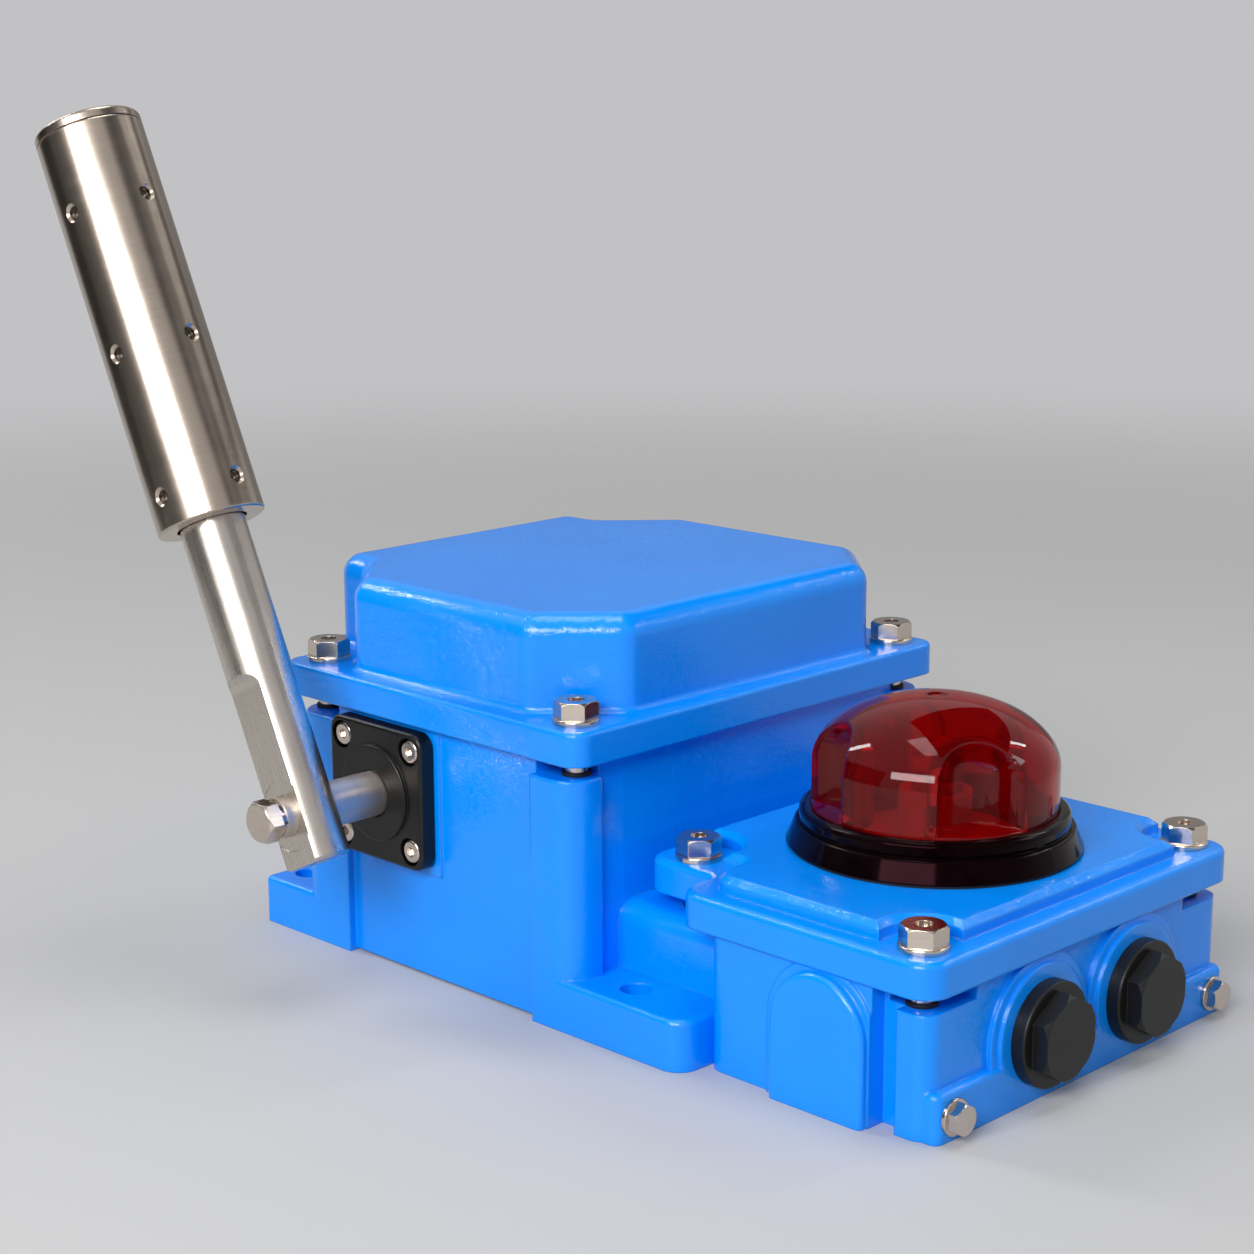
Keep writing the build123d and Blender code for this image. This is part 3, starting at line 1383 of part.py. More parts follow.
def cable_plugs():
    """Blanking plugs: round collar, chamfered hexagon and a shank in the entry."""
    collar = rod_z(plug_collar_diameter / 2, 0, plug_collar_thickness)
    collar = fillet(collar.edges().sort_by(Axis.Z)[-1], 0.5)
    head = hexagon_prism(plug_hex_flats, plug_hex_height, plug_hex_chamfer)
    collar -= rod_z(plug_collar_diameter / 2 - plug_seal_inset, -1, plug_seal_thickness)
    shank = rod_z(entry_diameter / 2 - plug_shank_clearance, -plug_shank_length, plug_seal_thickness)
    plug = collar + Pos(0, 0, plug_collar_thickness) * head + shank
    return [Pos(entry_face_x, y, entry_z) * Rot(0, 90, 0) * plug for y in entry_places()]


def plug_seals():
    bore = entry_diameter / 2
    outer = plug_collar_diameter / 2 - plug_seal_inset
    seals = []
    for y in entry_places():
        ring = rod_x(outer, entry_face_x, entry_face_x + plug_seal_thickness, y, entry_z)
        seals.append(ring - rod_x(bore, entry_face_x - 1, entry_face_x + plug_seal_thickness + 1, y, entry_z))
    return seals


def earth_screws():
    screw = hex_bolt(earth_screw_diameter, earth_screw_flats, earth_screw_head, earth_screw_length, 0.5)
    seat_x = ledge_face_x + earth_washer_thickness
    return [Pos(seat_x, side * earth_screw_y, earth_screw_z) * Rot(0, 90, 0) * screw for side in (-1, 1)]


def earth_washers():
    ring = washer(earth_washer_diameter, earth_screw_diameter + 2 * thread_clearance, earth_washer_thickness)
    return [Pos(ledge_face_x, side * earth_screw_y, earth_screw_z) * Rot(0, 90, 0) * ring for side in (-1, 1)]


def pole_places():
    span = block_length - 2 * block_end_land
    pitch = span / (block_poles - 1)
    return [index * pitch - span / 2 for index in range(block_poles)]


def terminal_block():
    """Stepped moulded block with a clamp well and two wire mouths for each pole."""
    half_x = block_width / 2
    half_y = block_length / 2
    top = block_seat_z + block_height
    body = block((block_x - half_x, -half_y, block_seat_z), (block_x + half_x, half_y, top))
    for side in (-1, 1):
        low_x, high_x = sorted((block_x + side * (half_x - block_step_depth), block_x + side * (half_x + 1)))
        body -= block((low_x, -half_y - 1, top - block_step_height), (high_x, half_y + 1, top + 1))
    for y in pole_places():
        body -= rod_z(block_screw_diameter / 2 + 0.3, top - 4, top + 1, block_x - 3.5, y)
        body -= rod_z(block_screw_diameter / 2 + 0.3, top - 4, top + 1, block_x + 3.5, y)
    for x, y in block_screw_places():
        body -= rod_z(block_screw_diameter / 2 + 0.3, block_seat_z - 1, top + 1, x, y)
    return body


def terminal_screws():
    """Clamp screws in the wells of the terminal block."""
    floor = block_seat_z + block_height - 4
    screws = []
    for y in pole_places():
        for side in (-1, 1):
            x = block_x + side * 3.5
            screws.append(rod_z(block_screw_diameter / 2, floor, floor + block_screw_height + 1, x, y))
    return screws


def block_screws():
    top = block_seat_z + block_height
    screws = []
    for x, y in block_screw_places():
        shank = rod_z(block_screw_diameter / 2, terminal_floor + 1, top, x, y)
        screws.append(shank + rod_z(block_screw_diameter / 2 + 1.5, top, top + 2, x, y))
    return screws


def nodes():
    """Every named node with its solids."""
    bolts = cover_bolt_places()
    terminal_bolts = terminal_bolt_places()
    bridge_drop = terminal_cover_thickness + terminal_rim_z - bridge_top_z
    column_drop = terminal_cover_thickness + terminal_column_gap
    middles = switch_middles()
    return {
        "housing": housing(),
        "main_cover": main_cover(),
        "main_cover_cord": sealing_cord(chamber_cavity_outline(), chamber_rim_z),
        "main_cover_bolts": bolt_group(bolts, flange_top_z, [bolt_drop] * 4),
        "main_cover_washers": washer_group(bolts, flange_top_z),
        "main_cover_captive_rings": captive_rings(bolts, [column_top_z] * 4),
        "terminal_cover": terminal_cover(),
        "terminal_cover_cord": sealing_cord(terminal_cavity_outline(), terminal_rim_z),
        "terminal_cover_bolts": bolt_group(
            terminal_bolts, terminal_seat_z, [bridge_drop] * 2 + [column_drop] * 2),
        "terminal_cover_washers": washer_group(terminal_bolts, terminal_seat_z),
        "terminal_cover_captive_rings": captive_rings(
            terminal_bolts, [bridge_top_z] * 2 + [terminal_column_top_z] * 2),
        "bearing_flange": bearing_flange(),
        "bearing_flange_gasket": flange_gasket(),
        "bearing_flange_screws": flange_screws(),
        "shaft_seal": shaft_seal(),
        "shaft_bush": shaft_bush(),
        "rear_bush": rear_bush(),
        "lever_shaft": lever_shaft(),
        "shaft_retaining_ring": shaft_retaining_ring(),
        "lever_arm": lever_arm(),
        "lever_spring_washer": lever_spring_washer(),
        "lever_bolt": lever_bolt(),
        "lever_set_screw": lever_set_screw(),
        "roller_tube": roller_tube(),
        "roller_cap": roller_cap(),
        "roller_bushes": roller_bushes(),
        "roller_grub_screws": roller_grub_screws(),
        "roller_retaining_ring": roller_retaining_ring(),
        "mechanism_frame": mechanism_frame(),
        "frame_screws": frame_screws(),
        "drive_collar": drive_collar(),
        "collar_screw": collar_screw(),
        "return_spring": return_spring(),
        "cam_warning": cam_disc(warning_lobe_half_angle, middles[0]),
        "cam_stop": cam_disc(stop_lobe_half_angle, middles[1]),
        "cam_screws": cam_screws(),
        "microswitch_warning": microswitch(middles[0]),
        "microswitch_stop": microswitch(middles[1]),
        "microswitch_arms": follower_arms(),
        "microswitch_rollers": follower_rollers(),
        "microswitch_screws": microswitch_screws(),
        "lamp_gasket": lamp_gasket(),
        "lamp_base_ring": lamp_base_ring(),
        "lamp_screws": lamp_screws(),
        "lamp_holder": lamp_holder(),
        "lamp_bulb": lamp_bulb(),
        "lamp_lens": lamp_lens(),
        "cable_plugs": cable_plugs(),
        "cable_plug_seals": plug_seals(),
        "earth_screws": earth_screws(),
        "earth_washers": earth_washers(),
        "terminal_block": terminal_block(),
        "terminal_screws": terminal_screws(),
        "terminal_block_screws": block_screws(),
    }


def save(name, shape):
    solids = shape if isinstance(shape, list) else [shape]
    loose = [solid for item in solids for solid in item.solids()]
    export_step(Compound(children=loose) if len(loose) > 1 else loose[0], f"parts/{name}.step")


os.makedirs("parts", exist_ok=True)
for node_name, node_shape in nodes().items():
    save(node_name, node_shape)
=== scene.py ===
"""Looks of a belt misalignment switch: blue enamelled castings, a steel roller lever and a red lamp.

Metres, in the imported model's own frame: +Z up, +X from the switch chamber to the terminal box,
and the lever on the -Y side.
"""

import json

import bpy
import numpy as np
from mathutils import Matrix, Vector


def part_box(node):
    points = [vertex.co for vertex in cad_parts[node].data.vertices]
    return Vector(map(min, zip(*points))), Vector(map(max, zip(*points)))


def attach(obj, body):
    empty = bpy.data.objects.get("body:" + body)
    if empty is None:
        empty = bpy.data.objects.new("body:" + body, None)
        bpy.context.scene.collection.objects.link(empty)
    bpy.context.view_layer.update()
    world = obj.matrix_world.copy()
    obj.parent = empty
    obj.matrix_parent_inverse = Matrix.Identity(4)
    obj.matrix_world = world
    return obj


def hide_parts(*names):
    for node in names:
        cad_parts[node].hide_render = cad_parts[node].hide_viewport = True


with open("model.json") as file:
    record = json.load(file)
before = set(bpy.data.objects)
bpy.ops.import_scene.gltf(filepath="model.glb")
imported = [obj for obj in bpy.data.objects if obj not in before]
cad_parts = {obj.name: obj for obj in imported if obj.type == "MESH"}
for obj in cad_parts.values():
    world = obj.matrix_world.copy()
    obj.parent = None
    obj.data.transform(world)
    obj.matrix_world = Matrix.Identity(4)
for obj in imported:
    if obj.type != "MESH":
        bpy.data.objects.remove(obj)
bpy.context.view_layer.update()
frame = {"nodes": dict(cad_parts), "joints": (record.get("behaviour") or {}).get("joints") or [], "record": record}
nodes = frame["nodes"]
joints = {joint["name"]: joint for joint in frame["joints"]}
node_slots = {part["node"]: part["material_slot"] for part in frame["record"]["subparts"]}
MM = 0.001
WHITE = "#ffffff"

# The camera that took the photograph, solved from points on the part
IMAGE_SIZE = 1254
FOCAL_PIXELS = 2481.76
SENSOR_WIDTH = 36.0
CLIP_NEAR = 0.01
CLIP_FAR = 50
CAMERA_PLACE = (0.4724, -0.4722, 0.2357)
CAMERA_RIGHT = (0.7096, 0.7046, -0.0040)
CAMERA_UP = (-0.1523, 0.1589, 0.9755)
CAMERA_BACK = (0.6880, -0.6916, 0.2201)

# The studio: a floor disc that fades into the backdrop, the level of the room's own light,
# and the two places that lamps and cards face
FLOOR_RADIUS = 2.2
FLOOR_RINGS = 23
FLOOR_SIDES = 96
FLOOR_FADE_START = 0.45
FLOOR_FADE_END = 1.3
FLOOR_COLOUR = "#bcbcbc"
BACKDROP_COLOUR = "#c2c2c4"
ROOM_LIGHT = 0.25
SWITCH_MIDDLE = (0.03, 0.0, 0.08)
ROLLER_MIDDLE = (-0.091, -0.097, 0.198)

# Rays that find a rounded edge, and how narrow a tool line is for its length
EDGE_RAYS = 6
TOOL_LINE_NARROWNESS = 0.02

# The lens, in millimetres and degrees: its wall, its dome, the four finger scallops round it,
# and the sunk mark of the moulding gate on its crown
LENS_WALL = 2.2
DOME_RISE = 17.1
SCALLOP_RADIUS = 10.3
SCALLOP_CENTRE = 29.1
SCALLOP_TOP_BELOW_CROWN = 15.0
SCALLOP_FLOOR = 5.9
SCALLOP_ANGLE = -30.5
SCALLOP_COUNT = 4
EDGE_SOFTNESS = 0.9
GATE_RADIUS = 2.65
GATE_EDGE = 0.4
GATE_DEPTH = 0.45

# The lens's grid: its columns, its rows over each stretch, and half the height of the ledge
# between the foot and the scallops
LENS_SIDES = 320
FOOT_ROWS = 12
WALL_ROWS = 48
DOME_ROWS = 88
LEDGE_STEP = 0.05


def linear(hex_colour):
    """sRGB hex to linear RGBA."""
    channels = np.array([int(hex_colour[i:i + 2], 16) for i in (1, 3, 5)]) / 255
    low = channels / 12.92
    high = ((channels + 0.055) / 1.055) ** 2.4
    return (*np.where(channels <= 0.04045, low, high), 1.0)


def add_node(tree, kind, inputs=None, stops=(), **settings):
    """Add one node with its attributes and colour stops, and link or set its inputs.

    An input goes by its name or number. A node given for it stands for that node's first output.
    """
    node = tree.nodes.new("ShaderNode" + kind)
    for name, value in settings.items():
        setattr(node, name, value)
    for name, value in (inputs or {}).items():
        if isinstance(value, bpy.types.Node):
            value = value.outputs[0]
        if isinstance(value, bpy.types.NodeSocket):
            tree.links.new(value, node.inputs[name])
        else:
            node.inputs[name].default_value = value
    for number, (position, colour) in enumerate(stops):
        node.color_ramp.elements[number].position = position
        node.color_ramp.elements[number].color = colour
    return node


def new_material(name):
    """Material without nodes, and the tree that takes them."""
    material = bpy.data.materials.new(name)
    material.use_nodes = True
    material.node_tree.nodes.clear()
    return material, material.node_tree


def lay_surface(tree, values):
    """Principled shader on the material's output, with plain values on its own sockets."""
    shader = add_node(tree, "BsdfPrincipled", values)
    add_node(tree, "OutputMaterial", {"Surface": shader})


def clouds(tree, size_mm, detail=3.0, roughness=0.55, stretch=(1, 1, 1), coords=None, swirl=0.0):
    """Uneven pattern whose main features measure size_mm, on the piece's own coordinates."""
    if coords is None:
        coords = add_node(tree, "TexCoord").outputs["Object"]
    scale = 1 / (size_mm * MM)
    mapping = add_node(tree, "Mapping", {"Vector": coords, "Scale": [scale * share for share in stretch]})
    return add_node(tree, "TexNoise", {
        "Vector": mapping, "Scale": 1.0, "Detail": detail, "Roughness": roughness, "Distortion": swirl,
    })


def relief(tree, layers, edge_mm=None):
    """Normal with edges rounded by edge_mm, as paint, tumbling or wear does, under layers of bump.

    A layer is its height, its depth in mm and its strength, and each lies over the one before.
    """
    normal = None
    if edge_mm is not None:
        normal = add_node(tree, "Bevel", {"Radius": edge_mm * MM}, samples=EDGE_RAYS)
    for height, depth_mm, strength in layers:
        inputs = {"Height": height, "Distance": depth_mm * MM, "Strength": strength}
        if normal is not None:
            inputs["Normal"] = normal
        normal = add_node(tree, "Bump", inputs)
    return normal


def blue_enamel():
    """Stoved enamel over a sand casting.

    A thick glossy coat gives saturated colour, crisp edge lights and fine wrinkles where the paint
    flowed, 2 to 3 mm apart, over the slower waves of the casting. The wrinkles are the lines along
    which a swirled pattern folds back on itself.
    """
    material, tree = new_material("blue stoved enamel on cast aluminium")
    drift = clouds(tree, size_mm=40, detail=2.0)
    tint = add_node(tree, "ValToRGB", {"Fac": drift}, [
        (0.3, linear("#0088f6")), (0.7, linear("#008ffd")),
    ])
    wave = clouds(tree, size_mm=9, detail=1.0)
    flow = clouds(tree, size_mm=2.6, detail=1.5, swirl=1.6)
    wrinkle = add_node(tree, "Math", {0: flow, 1: 0.11}, operation="PINGPONG")
    lay_surface(tree, {
        "Base Color": tint, "Roughness": 0.07, "IOR": 1.5,
        "Normal": relief(tree, [(wave, 0.22, 0.30), (wrinkle, 0.27, 0.85)], edge_mm=0.9),
    })
    return material


def steel(name, colour, roughness, line_mm, axis, depth_mm=0.012, turn=None, shade=0.86):
    """Machined metal: tool lines across one axis, and the cloudy marks of handling.

    Both give it bands of sharper and softer shine, between the two values of its roughness, and
    darken its colour by up to its shade. Real tool lines are too fine to show in the render, so
    line_mm is as coarse as they need to be.
    """
    material, tree = new_material(name)
    coords = add_node(tree, "TexCoord").outputs["Object"]
    if turn is not None:
        place, tilt = turn
        coords = add_node(tree, "Mapping", {"Vector": coords, "Location": place, "Rotation": tilt},
                          vector_type="TEXTURE")
    stretch = [1.0 if letter == axis else TOOL_LINE_NARROWNESS for letter in "xyz"]
    lines = clouds(tree, line_mm, detail=4.0, roughness=0.65, stretch=stretch, coords=coords)
    handling = clouds(tree, size_mm=9, roughness=0.6, coords=coords)
    marks = add_node(tree, "Mix", {"Factor": 0.35, "A": lines, "B": handling})
    shine = add_node(tree, "MapRange", {
        "Value": marks, "From Min": 0.3, "From Max": 0.7, "To Min": roughness[0], "To Max": roughness[1],
    })
    bright = linear(colour)
    dark = [channel * shade for channel in bright[:3]] + [1]
    tint = add_node(tree, "ValToRGB", {"Fac": marks}, [(0.35, dark), (0.62, bright)])
    lay_surface(tree, {
        "Metallic": 1.0, "Base Color": tint, "Roughness": shine,
        "Normal": relief(tree, [(lines, depth_mm, 0.7)], edge_mm=0.25),
    })
    return material


def moulded(name, colour, roughness, grain_mm=0.7, depth_mm=0.02, ior=1.48, gloss_tint=WHITE):
    """Moulded or etched skin: an even colour with faint lighter clouds, under a fine grain."""
    material, tree = new_material(name)
    base = linear(colour)
    lighter = [min(1, channel * 1.25 + 0.002) for channel in base[:3]] + [1]
    drift = clouds(tree, size_mm=12)
    tint = add_node(tree, "ValToRGB", {"Fac": drift}, [(0.35, base), (0.75, lighter)])
    grain = clouds(tree, grain_mm)
    lay_surface(tree, {
        "Base Color": tint, "Roughness": roughness, "IOR": ior, "Specular Tint": linear(gloss_tint),
        "Normal": relief(tree, [(grain, depth_mm, 0.6)], edge_mm=0.4),
    })
    return material


def red_acrylic():
    """Polished moulded acrylic, dyed deep red: dark, but the lamp inside shows, with small hard lights.

    A slow wave in the wall bends the lights a little, as moulding leaves it.
    """
    material, tree = new_material("deep red acrylic")
    wave = clouds(tree, size_mm=18, detail=1.0)
    lay_surface(tree, {
        "Base Color": linear("#bc0008"), "Roughness": 0.02, "IOR": 1.34, "Transmission Weight": 0.9,
        "Normal": relief(tree, [(wave, 0.10, 0.3)]),
    })
    return material


def lamp_glass():
    """Blown glass of the lamp: clear, with a faint warm cast."""
    material, tree = new_material("lamp glass")
    lay_surface(tree, {
        "Base Color": linear("#fff4ea"), "Roughness": 0.02, "IOR": 1.45, "Transmission Weight": 0.9,
    })
    return material


def lever_turn():
    """Place of the lever's pivot and tilt of its bar, for tool lines that follow the lever."""
    axis = Vector(joints["roller_spin"]["axis"])
    place = Vector(joints["lever_swing"]["pos_m"])
    return place, Vector((0, 0, 1)).rotation_difference(axis).to_euler()


# The roller, turned and then polished: a calm satin with a long light down its side
turned_steel = steel("turned stainless steel", "#c2b4a6", (0.22, 0.27), line_mm=0.45, axis="z",
                     depth_mm=0.0005, turn=lever_turn(), shade=0.92)
slot_materials = {
    "blue_enamel": blue_enamel(),
    # Bolts and washers, cut and tumbled: bright flats with sharp lights at their edges
    "stainless_steel": steel("machined stainless steel", "#d6c9bd", (0.14, 0.24), line_mm=0.4,
                             axis="z", depth_mm=0.002),
    # Springs and set screws, hardened and oiled: dark grey with broad soft lights
    "spring_steel": steel("oiled spring steel", "#6c6a68", (0.28, 0.42), line_mm=0.4, axis="x"),
    # Pressed frame and small screws, zinc plated: flat pale grey
    "plated_steel": steel("zinc plated steel", "#b9bbb8", (0.30, 0.42), line_mm=0.6, axis="z"),
    # Bearing flange, etched and dyed: deep black with a wide, dull sheen
    "black_anodised": moulded("satin black anodised aluminium", "#070707", 0.36, grain_mm=0.5,
                              depth_mm=0.012, ior=1.42),
    # Blanking plugs: black with a low sheen and the fine grain of the mould
    "black_nylon": moulded("moulded black nylon", "#0a0a0a", 0.40, grain_mm=0.6, depth_mm=0.03,
                           ior=1.42),
    # Gaskets and seals: dull, almost without lights
    "black_rubber": moulded("black sealing rubber", "#101010", 0.62, grain_mm=0.8, depth_mm=0.03),
    # Lamp's base ring, polished: so deep a red that it looks black, with dim warm lights
    "dark_gloss_ring": moulded("deep red moulded ring, near black", "#060001", 0.10, grain_mm=6.0,
                               depth_mm=0.01, ior=1.40, gloss_tint="#58303a"),
    "red_lens": red_acrylic(),
    "clear_bulb": lamp_glass(),
    # Bushes, pressed from powder: brown gold and dull
    "bronze": steel("sintered bronze", "#a5834f", (0.38, 0.5), line_mm=0.5, axis="z"),
    # Terminal screws, turned: yellow and bright
    "brass_screw": steel("bright brass", "#cfa95a", (0.25, 0.35), line_mm=0.5, axis="z"),
    # Cams and lamp holder: warm white with a soft sheen
    "white_polymer": moulded("white moulded polymer", "#d9d8d2", 0.45),
    # Terminal block: plain grey with a soft sheen
    "grey_polymer": moulded("grey moulded polymer", "#70757a", 0.5),
    # Microswitch cases: off black and matt
    "switch_black": moulded("black switch moulding", "#1d1d1e", 0.5),
}
node_materials = {
    "roller_tube": turned_steel,
    "roller_cap": turned_steel,
    # Drawn bar with its milled flat: satin, with faint marks along its length
    "lever_arm": steel("satin lever bar", "#cfc6bd", (0.24, 0.32), line_mm=0.6, axis="x",
                       depth_mm=0.0008, turn=lever_turn(), shade=0.9),
    # Turned shaft: the roughest of the steels, with rings round its axis
    "lever_shaft": steel("turned shaft steel", "#d8cdc4", (0.40, 0.50), line_mm=0.4, axis="y",
                         depth_mm=0.0016),
}


def clothe(obj, material):
    """Give an object one material all over."""
    obj.data.materials.clear()
    obj.data.materials.append(material)


for name, obj in nodes.items():
    clothe(obj, node_materials.get(name) or slot_materials[node_slots[name]])


def band_faces(rings, sides):
    """Quads of a closed grid, from each ring of points to the next."""
    start = np.arange(rings - 1)[:, None] * sides
    side = np.arange(sides)[None, :]
    after = (side + 1) % sides
    corners = [start + side, start + after, start + sides + after, start + sides + side]
    return np.stack(corners, -1).reshape(-1, 4).tolist()


def end_face(ring, sides):
    """One face over a whole ring of points."""
    return list(range(ring * sides, (ring + 1) * sides))


def make_mesh(name, points, faces):
    """Smooth object at the origin, from points in metres."""
    mesh = bpy.data.meshes.new(name)
    mesh.from_pydata(points.tolist(), [], faces)
    mesh.update()
    mesh.shade_smooth()
    obj = bpy.data.objects.new(name, mesh)
    bpy.context.scene.collection.objects.link(obj)
    return obj


def lens_reach(angle, level, wall, radius, crown, floor):
    """Distance of a skin of the lens from its axis, in mm, over angles and levels.

    The dome is a cylinder under an ellipse: r = R sqrt(1 - u^2), where u goes from 0 at the shoulder
    to 1 at the crown. A scallop is an upright cylinder with a round top, met from the axis at
    r = c cos d - sqrt(q^2 - (c sin d)^2), where c is the distance of its centre, d the angle from its
    middle and q its radius at that level. The smaller of the two, a and b, comes from a soft minimum
    that rounds the edge between them: -s log(exp(-a / s) + exp(-b / s)).
    """
    shoulder = crown - DOME_RISE
    up = np.clip((level - shoulder) / (DOME_RISE - wall), 0, 1)
    dome = (radius - wall) * np.sqrt(1 - up ** 2)
    above = np.clip(level - (crown - SCALLOP_TOP_BELOW_CROWN), 0, None)
    cutter = np.sqrt(np.clip((SCALLOP_RADIUS + wall) ** 2 - above ** 2, 0, None))
    step = 2 * np.pi / SCALLOP_COUNT
    off = (angle - np.radians(SCALLOP_ANGLE) + step / 2) % step - step / 2
    inside = cutter ** 2 - (SCALLOP_CENTRE * np.sin(off)) ** 2
    scallop = SCALLOP_CENTRE * np.cos(off) - np.sqrt(np.clip(inside, 0, None))
    scallop = np.where((inside > 0) & (level > floor), scallop, np.inf)
    soft = EDGE_SOFTNESS
    return -soft * np.log(np.exp(-dome / soft) + np.exp(-scallop / soft))


def lens_skin(wall, gate_depth):
    """Points of one skin of the lens, in mm, in rings from its foot to its crown.

    x = r cos a and y = r sin a about the lens's axis, with r from lens_reach. The levels are even up
    the foot and the wall, and shoulder + rise sin t over the dome. The gate mark is a cone round the
    axis that goes down to a flat of its own depth.
    """
    low, high = (np.array(corner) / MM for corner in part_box("lamp_lens"))
    centre = (low + high) / 2
    radius = (high[0] - low[0]) / 2
    floor = low[2] + SCALLOP_FLOOR - wall
    shoulder = high[2] - DOME_RISE
    turn = np.linspace(0, np.pi / 2, DOME_ROWS + 2)[1:-1]
    level = np.concatenate([
        np.linspace(low[2], floor - LEDGE_STEP, FOOT_ROWS),
        np.linspace(floor + LEDGE_STEP, shoulder, WALL_ROWS),
        shoulder + (DOME_RISE - wall) * np.sin(turn),
    ])[:, None]
    angle = np.linspace(0, 2 * np.pi, LENS_SIDES, endpoint=False)[None, :]
    reach = lens_reach(angle, level, wall, radius, high[2], floor)
    sink = gate_depth * np.clip((GATE_RADIUS - reach) / GATE_EDGE, 0, 1)
    x = centre[0] + reach * np.cos(angle)
    y = centre[1] + reach * np.sin(angle)
    return np.stack([x, y, level - sink], -1)


def lamp_lens():
    """Lens as one closed shell: the inner skin from crown to foot, then the outer one back up."""
    outer = lens_skin(0.0, GATE_DEPTH)
    inner = lens_skin(LENS_WALL, 0.0)
    rings = np.concatenate([inner[::-1], outer])
    faces = band_faces(len(rings), LENS_SIDES)
    faces.append(end_face(0, LENS_SIDES)[::-1])
    faces.append(end_face(len(rings) - 1, LENS_SIDES))
    lens = make_mesh("red_lens_shell", rings.reshape(-1, 3) * MM, faces)
    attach(lens, "base")
    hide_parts("lamp_lens")
    clothe(lens, slot_materials["red_lens"])


def studio_floor():
    """Flat disc about the origin: x = r cos a and y = r sin a, with r in even steps from its rim.

    Its paper is matt and pale, and fades out with distance, so that it has no edge to the backdrop.
    """
    radius = np.linspace(0, FLOOR_RADIUS, FLOOR_RINGS + 1)[:0:-1, None]
    angle = np.linspace(0, 2 * np.pi, FLOOR_SIDES, endpoint=False)[None, :]
    rings = np.stack([radius * np.cos(angle), radius * np.sin(angle), 0 * radius * angle], -1)
    faces = band_faces(len(rings), FLOOR_SIDES)
    faces.append(end_face(len(rings) - 1, FLOOR_SIDES))
    disc = make_mesh("floor", rings.reshape(-1, 3), faces)
    material, tree = new_material("seamless paper")
    coords = add_node(tree, "TexCoord").outputs["Object"]
    distance = add_node(tree, "VectorMath", {0: coords}, operation="LENGTH").outputs["Value"]
    fade = add_node(tree, "MapRange", {
        "Value": distance, "From Min": FLOOR_FADE_START, "From Max": FLOOR_FADE_END,
    }, interpolation_type="SMOOTHSTEP")
    paper = add_node(tree, "BsdfPrincipled", {
        "Base Color": linear(FLOOR_COLOUR), "Roughness": 0.55, "Specular IOR Level": 0.25,
    })
    clear = add_node(tree, "BsdfTransparent")
    mixed = add_node(tree, "MixShader", {0: fade, 1: paper, 2: clear})
    add_node(tree, "OutputMaterial", {"Surface": mixed})
    clothe(disc, material)


def facing(place, aim):
    """Turn that points an object's -Z side from its place to its aim."""
    return (Vector(aim) - Vector(place)).to_track_quat("-Z", "Y")


def shade_card(name, place, aim, size, colour):
    """Flat matt card that only mirrors see: its corners are half its size each way, turned to its aim."""
    square = np.array([(-1, -1, 0), (1, -1, 0), (1, 1, 0), (-1, 1, 0)]) / 2
    turn = np.array(facing(place, aim).to_matrix())
    corners = (square * (*size, 0)) @ turn.T + np.array(place)
    card = make_mesh(name, corners, [[0, 1, 2, 3]])
    material, tree = new_material(name)
    lay_surface(tree, {"Base Color": linear(colour), "Roughness": 1.0, "Specular IOR Level": 0})
    clothe(card, material)
    card.visible_camera = False
    card.visible_diffuse = False
    card.visible_shadow = False
    card.visible_transmission = False


def add_lamp(name, place, aim, size, watts):
    """Rectangular soft box that points at a place."""
    data = bpy.data.lights.new(name, "AREA")
    data.shape = "RECTANGLE"
    data.size, data.size_y = size
    data.energy = watts
    lamp = bpy.data.objects.new(name, data)
    bpy.context.scene.collection.objects.link(lamp)
    lamp.location = place
    lamp.rotation_mode = "QUATERNION"
    lamp.rotation_quaternion = facing(place, aim)


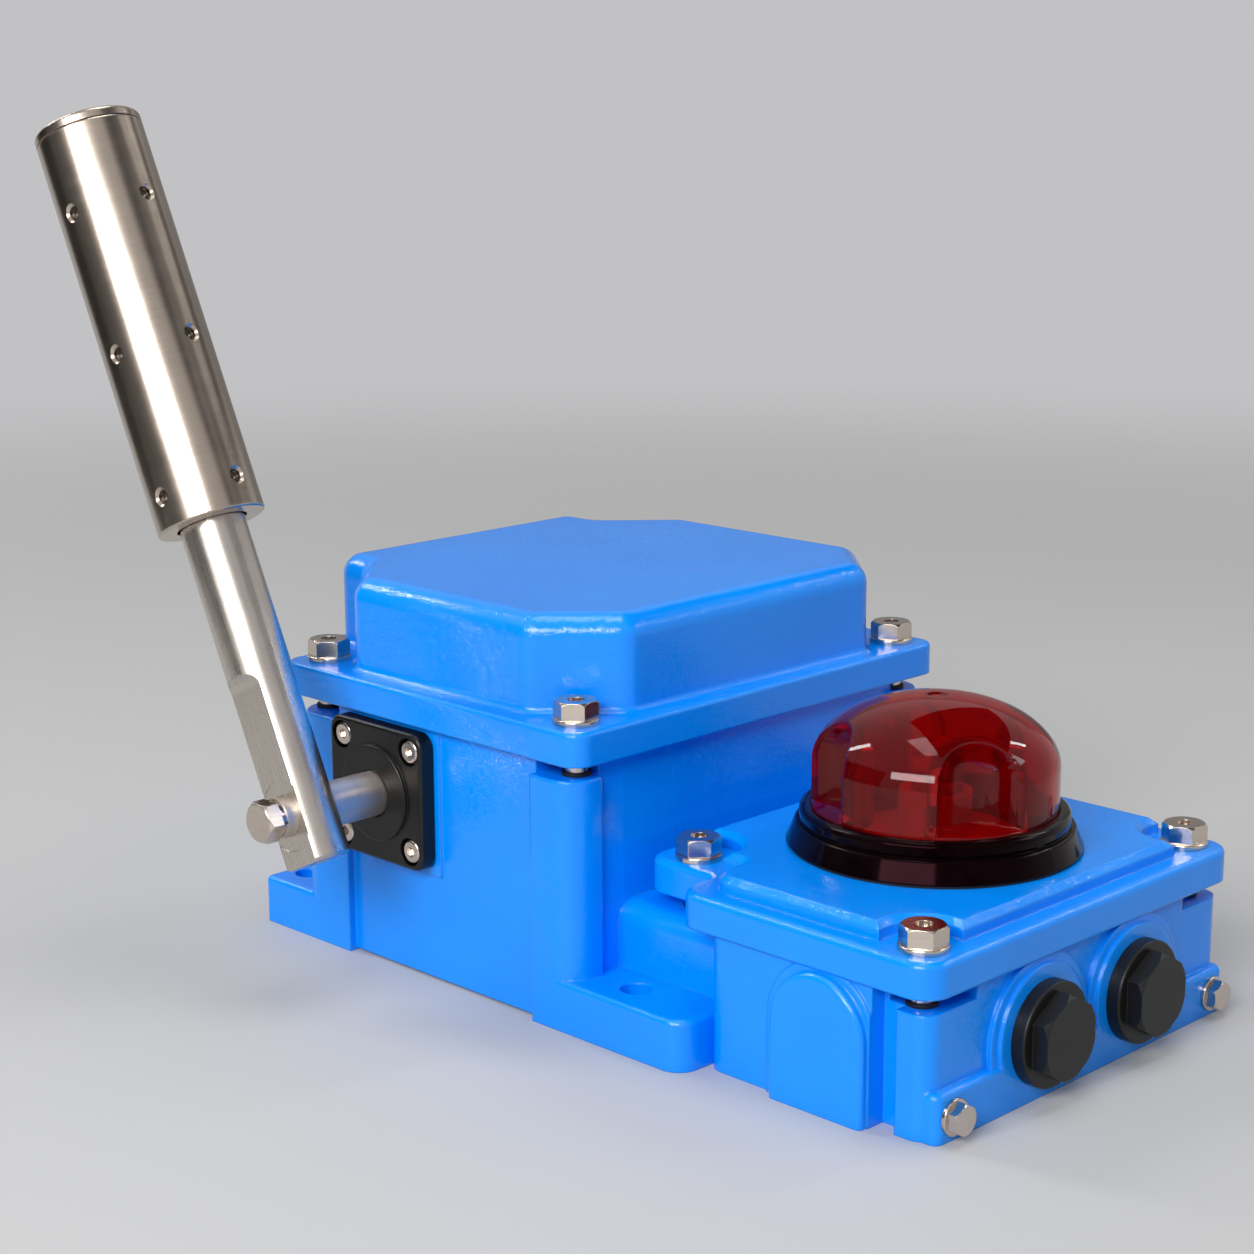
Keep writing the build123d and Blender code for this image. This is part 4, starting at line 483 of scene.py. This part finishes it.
def light_studio():
    """Soft boxes and strips round the switch, and the cards that its bright metal mirrors."""
    # The broad light on the lever's side and on the front walls
    add_lamp("key box", place=(0.459, -1.20, 0.79), aim=SWITCH_MIDDLE, size=(1.05, 0.44), watts=20.0)
    # A little light on the end face with the plugs
    add_lamp("side box", place=(0.95, 0.85, 0.95), aim=SWITCH_MIDDLE, size=(0.3, 0.4), watts=1.8)
    # The light on the covers and the floor
    add_lamp("top box", place=(0.1, 0.1, 1.5), aim=SWITCH_MIDDLE, size=(0.7, 0.7), watts=5.8)
    # Long lights down the roller and along the far edges
    add_lamp("left strip", place=(-1.2, -0.37, 1.15), aim=SWITCH_MIDDLE, size=(0.14, 0.8), watts=6.5)
    add_lamp("back strip", place=(0.45, 1.35, 1.35), aim=SWITCH_MIDDLE, size=(0.1, 0.6), watts=3.0)
    # Greys and darks beside the roller's long light
    shade_card("left card", place=(-0.35, -0.75, 0.28), aim=ROLLER_MIDDLE, size=(0.62, 0.6),
               colour="#6f6f6f")
    shade_card("far left card", place=(-0.49, -0.33, 0.16), aim=ROLLER_MIDDLE, size=(0.30, 0.5),
               colour="#303030")
    shade_card("right card", place=(0.085, 0.129, 0.405), aim=ROLLER_MIDDLE, size=(0.50, 0.34),
               colour="#303030")
    # A calmer grey behind the bright enamel
    shade_card("back card", place=(-0.75, 0.95, 0.32), aim=SWITCH_MIDDLE, size=(1.5, 0.62),
               colour="#a2a2a2")


def light_room():
    """Even room light, with the backdrop's colour for what the camera, mirrors and glass see."""
    world = bpy.data.worlds.new("studio")
    bpy.context.scene.world = world
    world.use_nodes = True
    tree = world.node_tree
    tree.nodes.clear()
    rays = add_node(tree, "LightPath").outputs
    seen = rays["Is Camera Ray"]
    for ray in ("Is Glossy Ray", "Is Transmission Ray"):
        seen = add_node(tree, "Math", {0: seen, 1: rays[ray]}, operation="MAXIMUM")
    room = add_node(tree, "Background", {"Color": linear(WHITE), "Strength": ROOM_LIGHT})
    backdrop = add_node(tree, "Background", {"Color": linear(BACKDROP_COLOUR), "Strength": 1.0})
    mixed = add_node(tree, "MixShader", {0: seen, 1: room, 2: backdrop})
    add_node(tree, "OutputWorld", {"Surface": mixed})


def place_camera():
    """Camera at the solved place, with its focal length in millimetres of the sensor."""
    data = bpy.data.cameras.new("camera")
    data.sensor_width = SENSOR_WIDTH
    data.lens = SENSOR_WIDTH * FOCAL_PIXELS / IMAGE_SIZE
    data.clip_start = CLIP_NEAR
    data.clip_end = CLIP_FAR
    camera = bpy.data.objects.new("camera", data)
    bpy.context.scene.collection.objects.link(camera)
    axes = Matrix((CAMERA_RIGHT, CAMERA_UP, CAMERA_BACK)).transposed()
    camera.matrix_world = Matrix.Translation(CAMERA_PLACE) @ axes.to_4x4()
    bpy.context.scene.camera = camera


lamp_lens()
studio_floor()
light_studio()
light_room()
place_camera()
bpy.context.scene.view_settings.view_transform = "Standard"
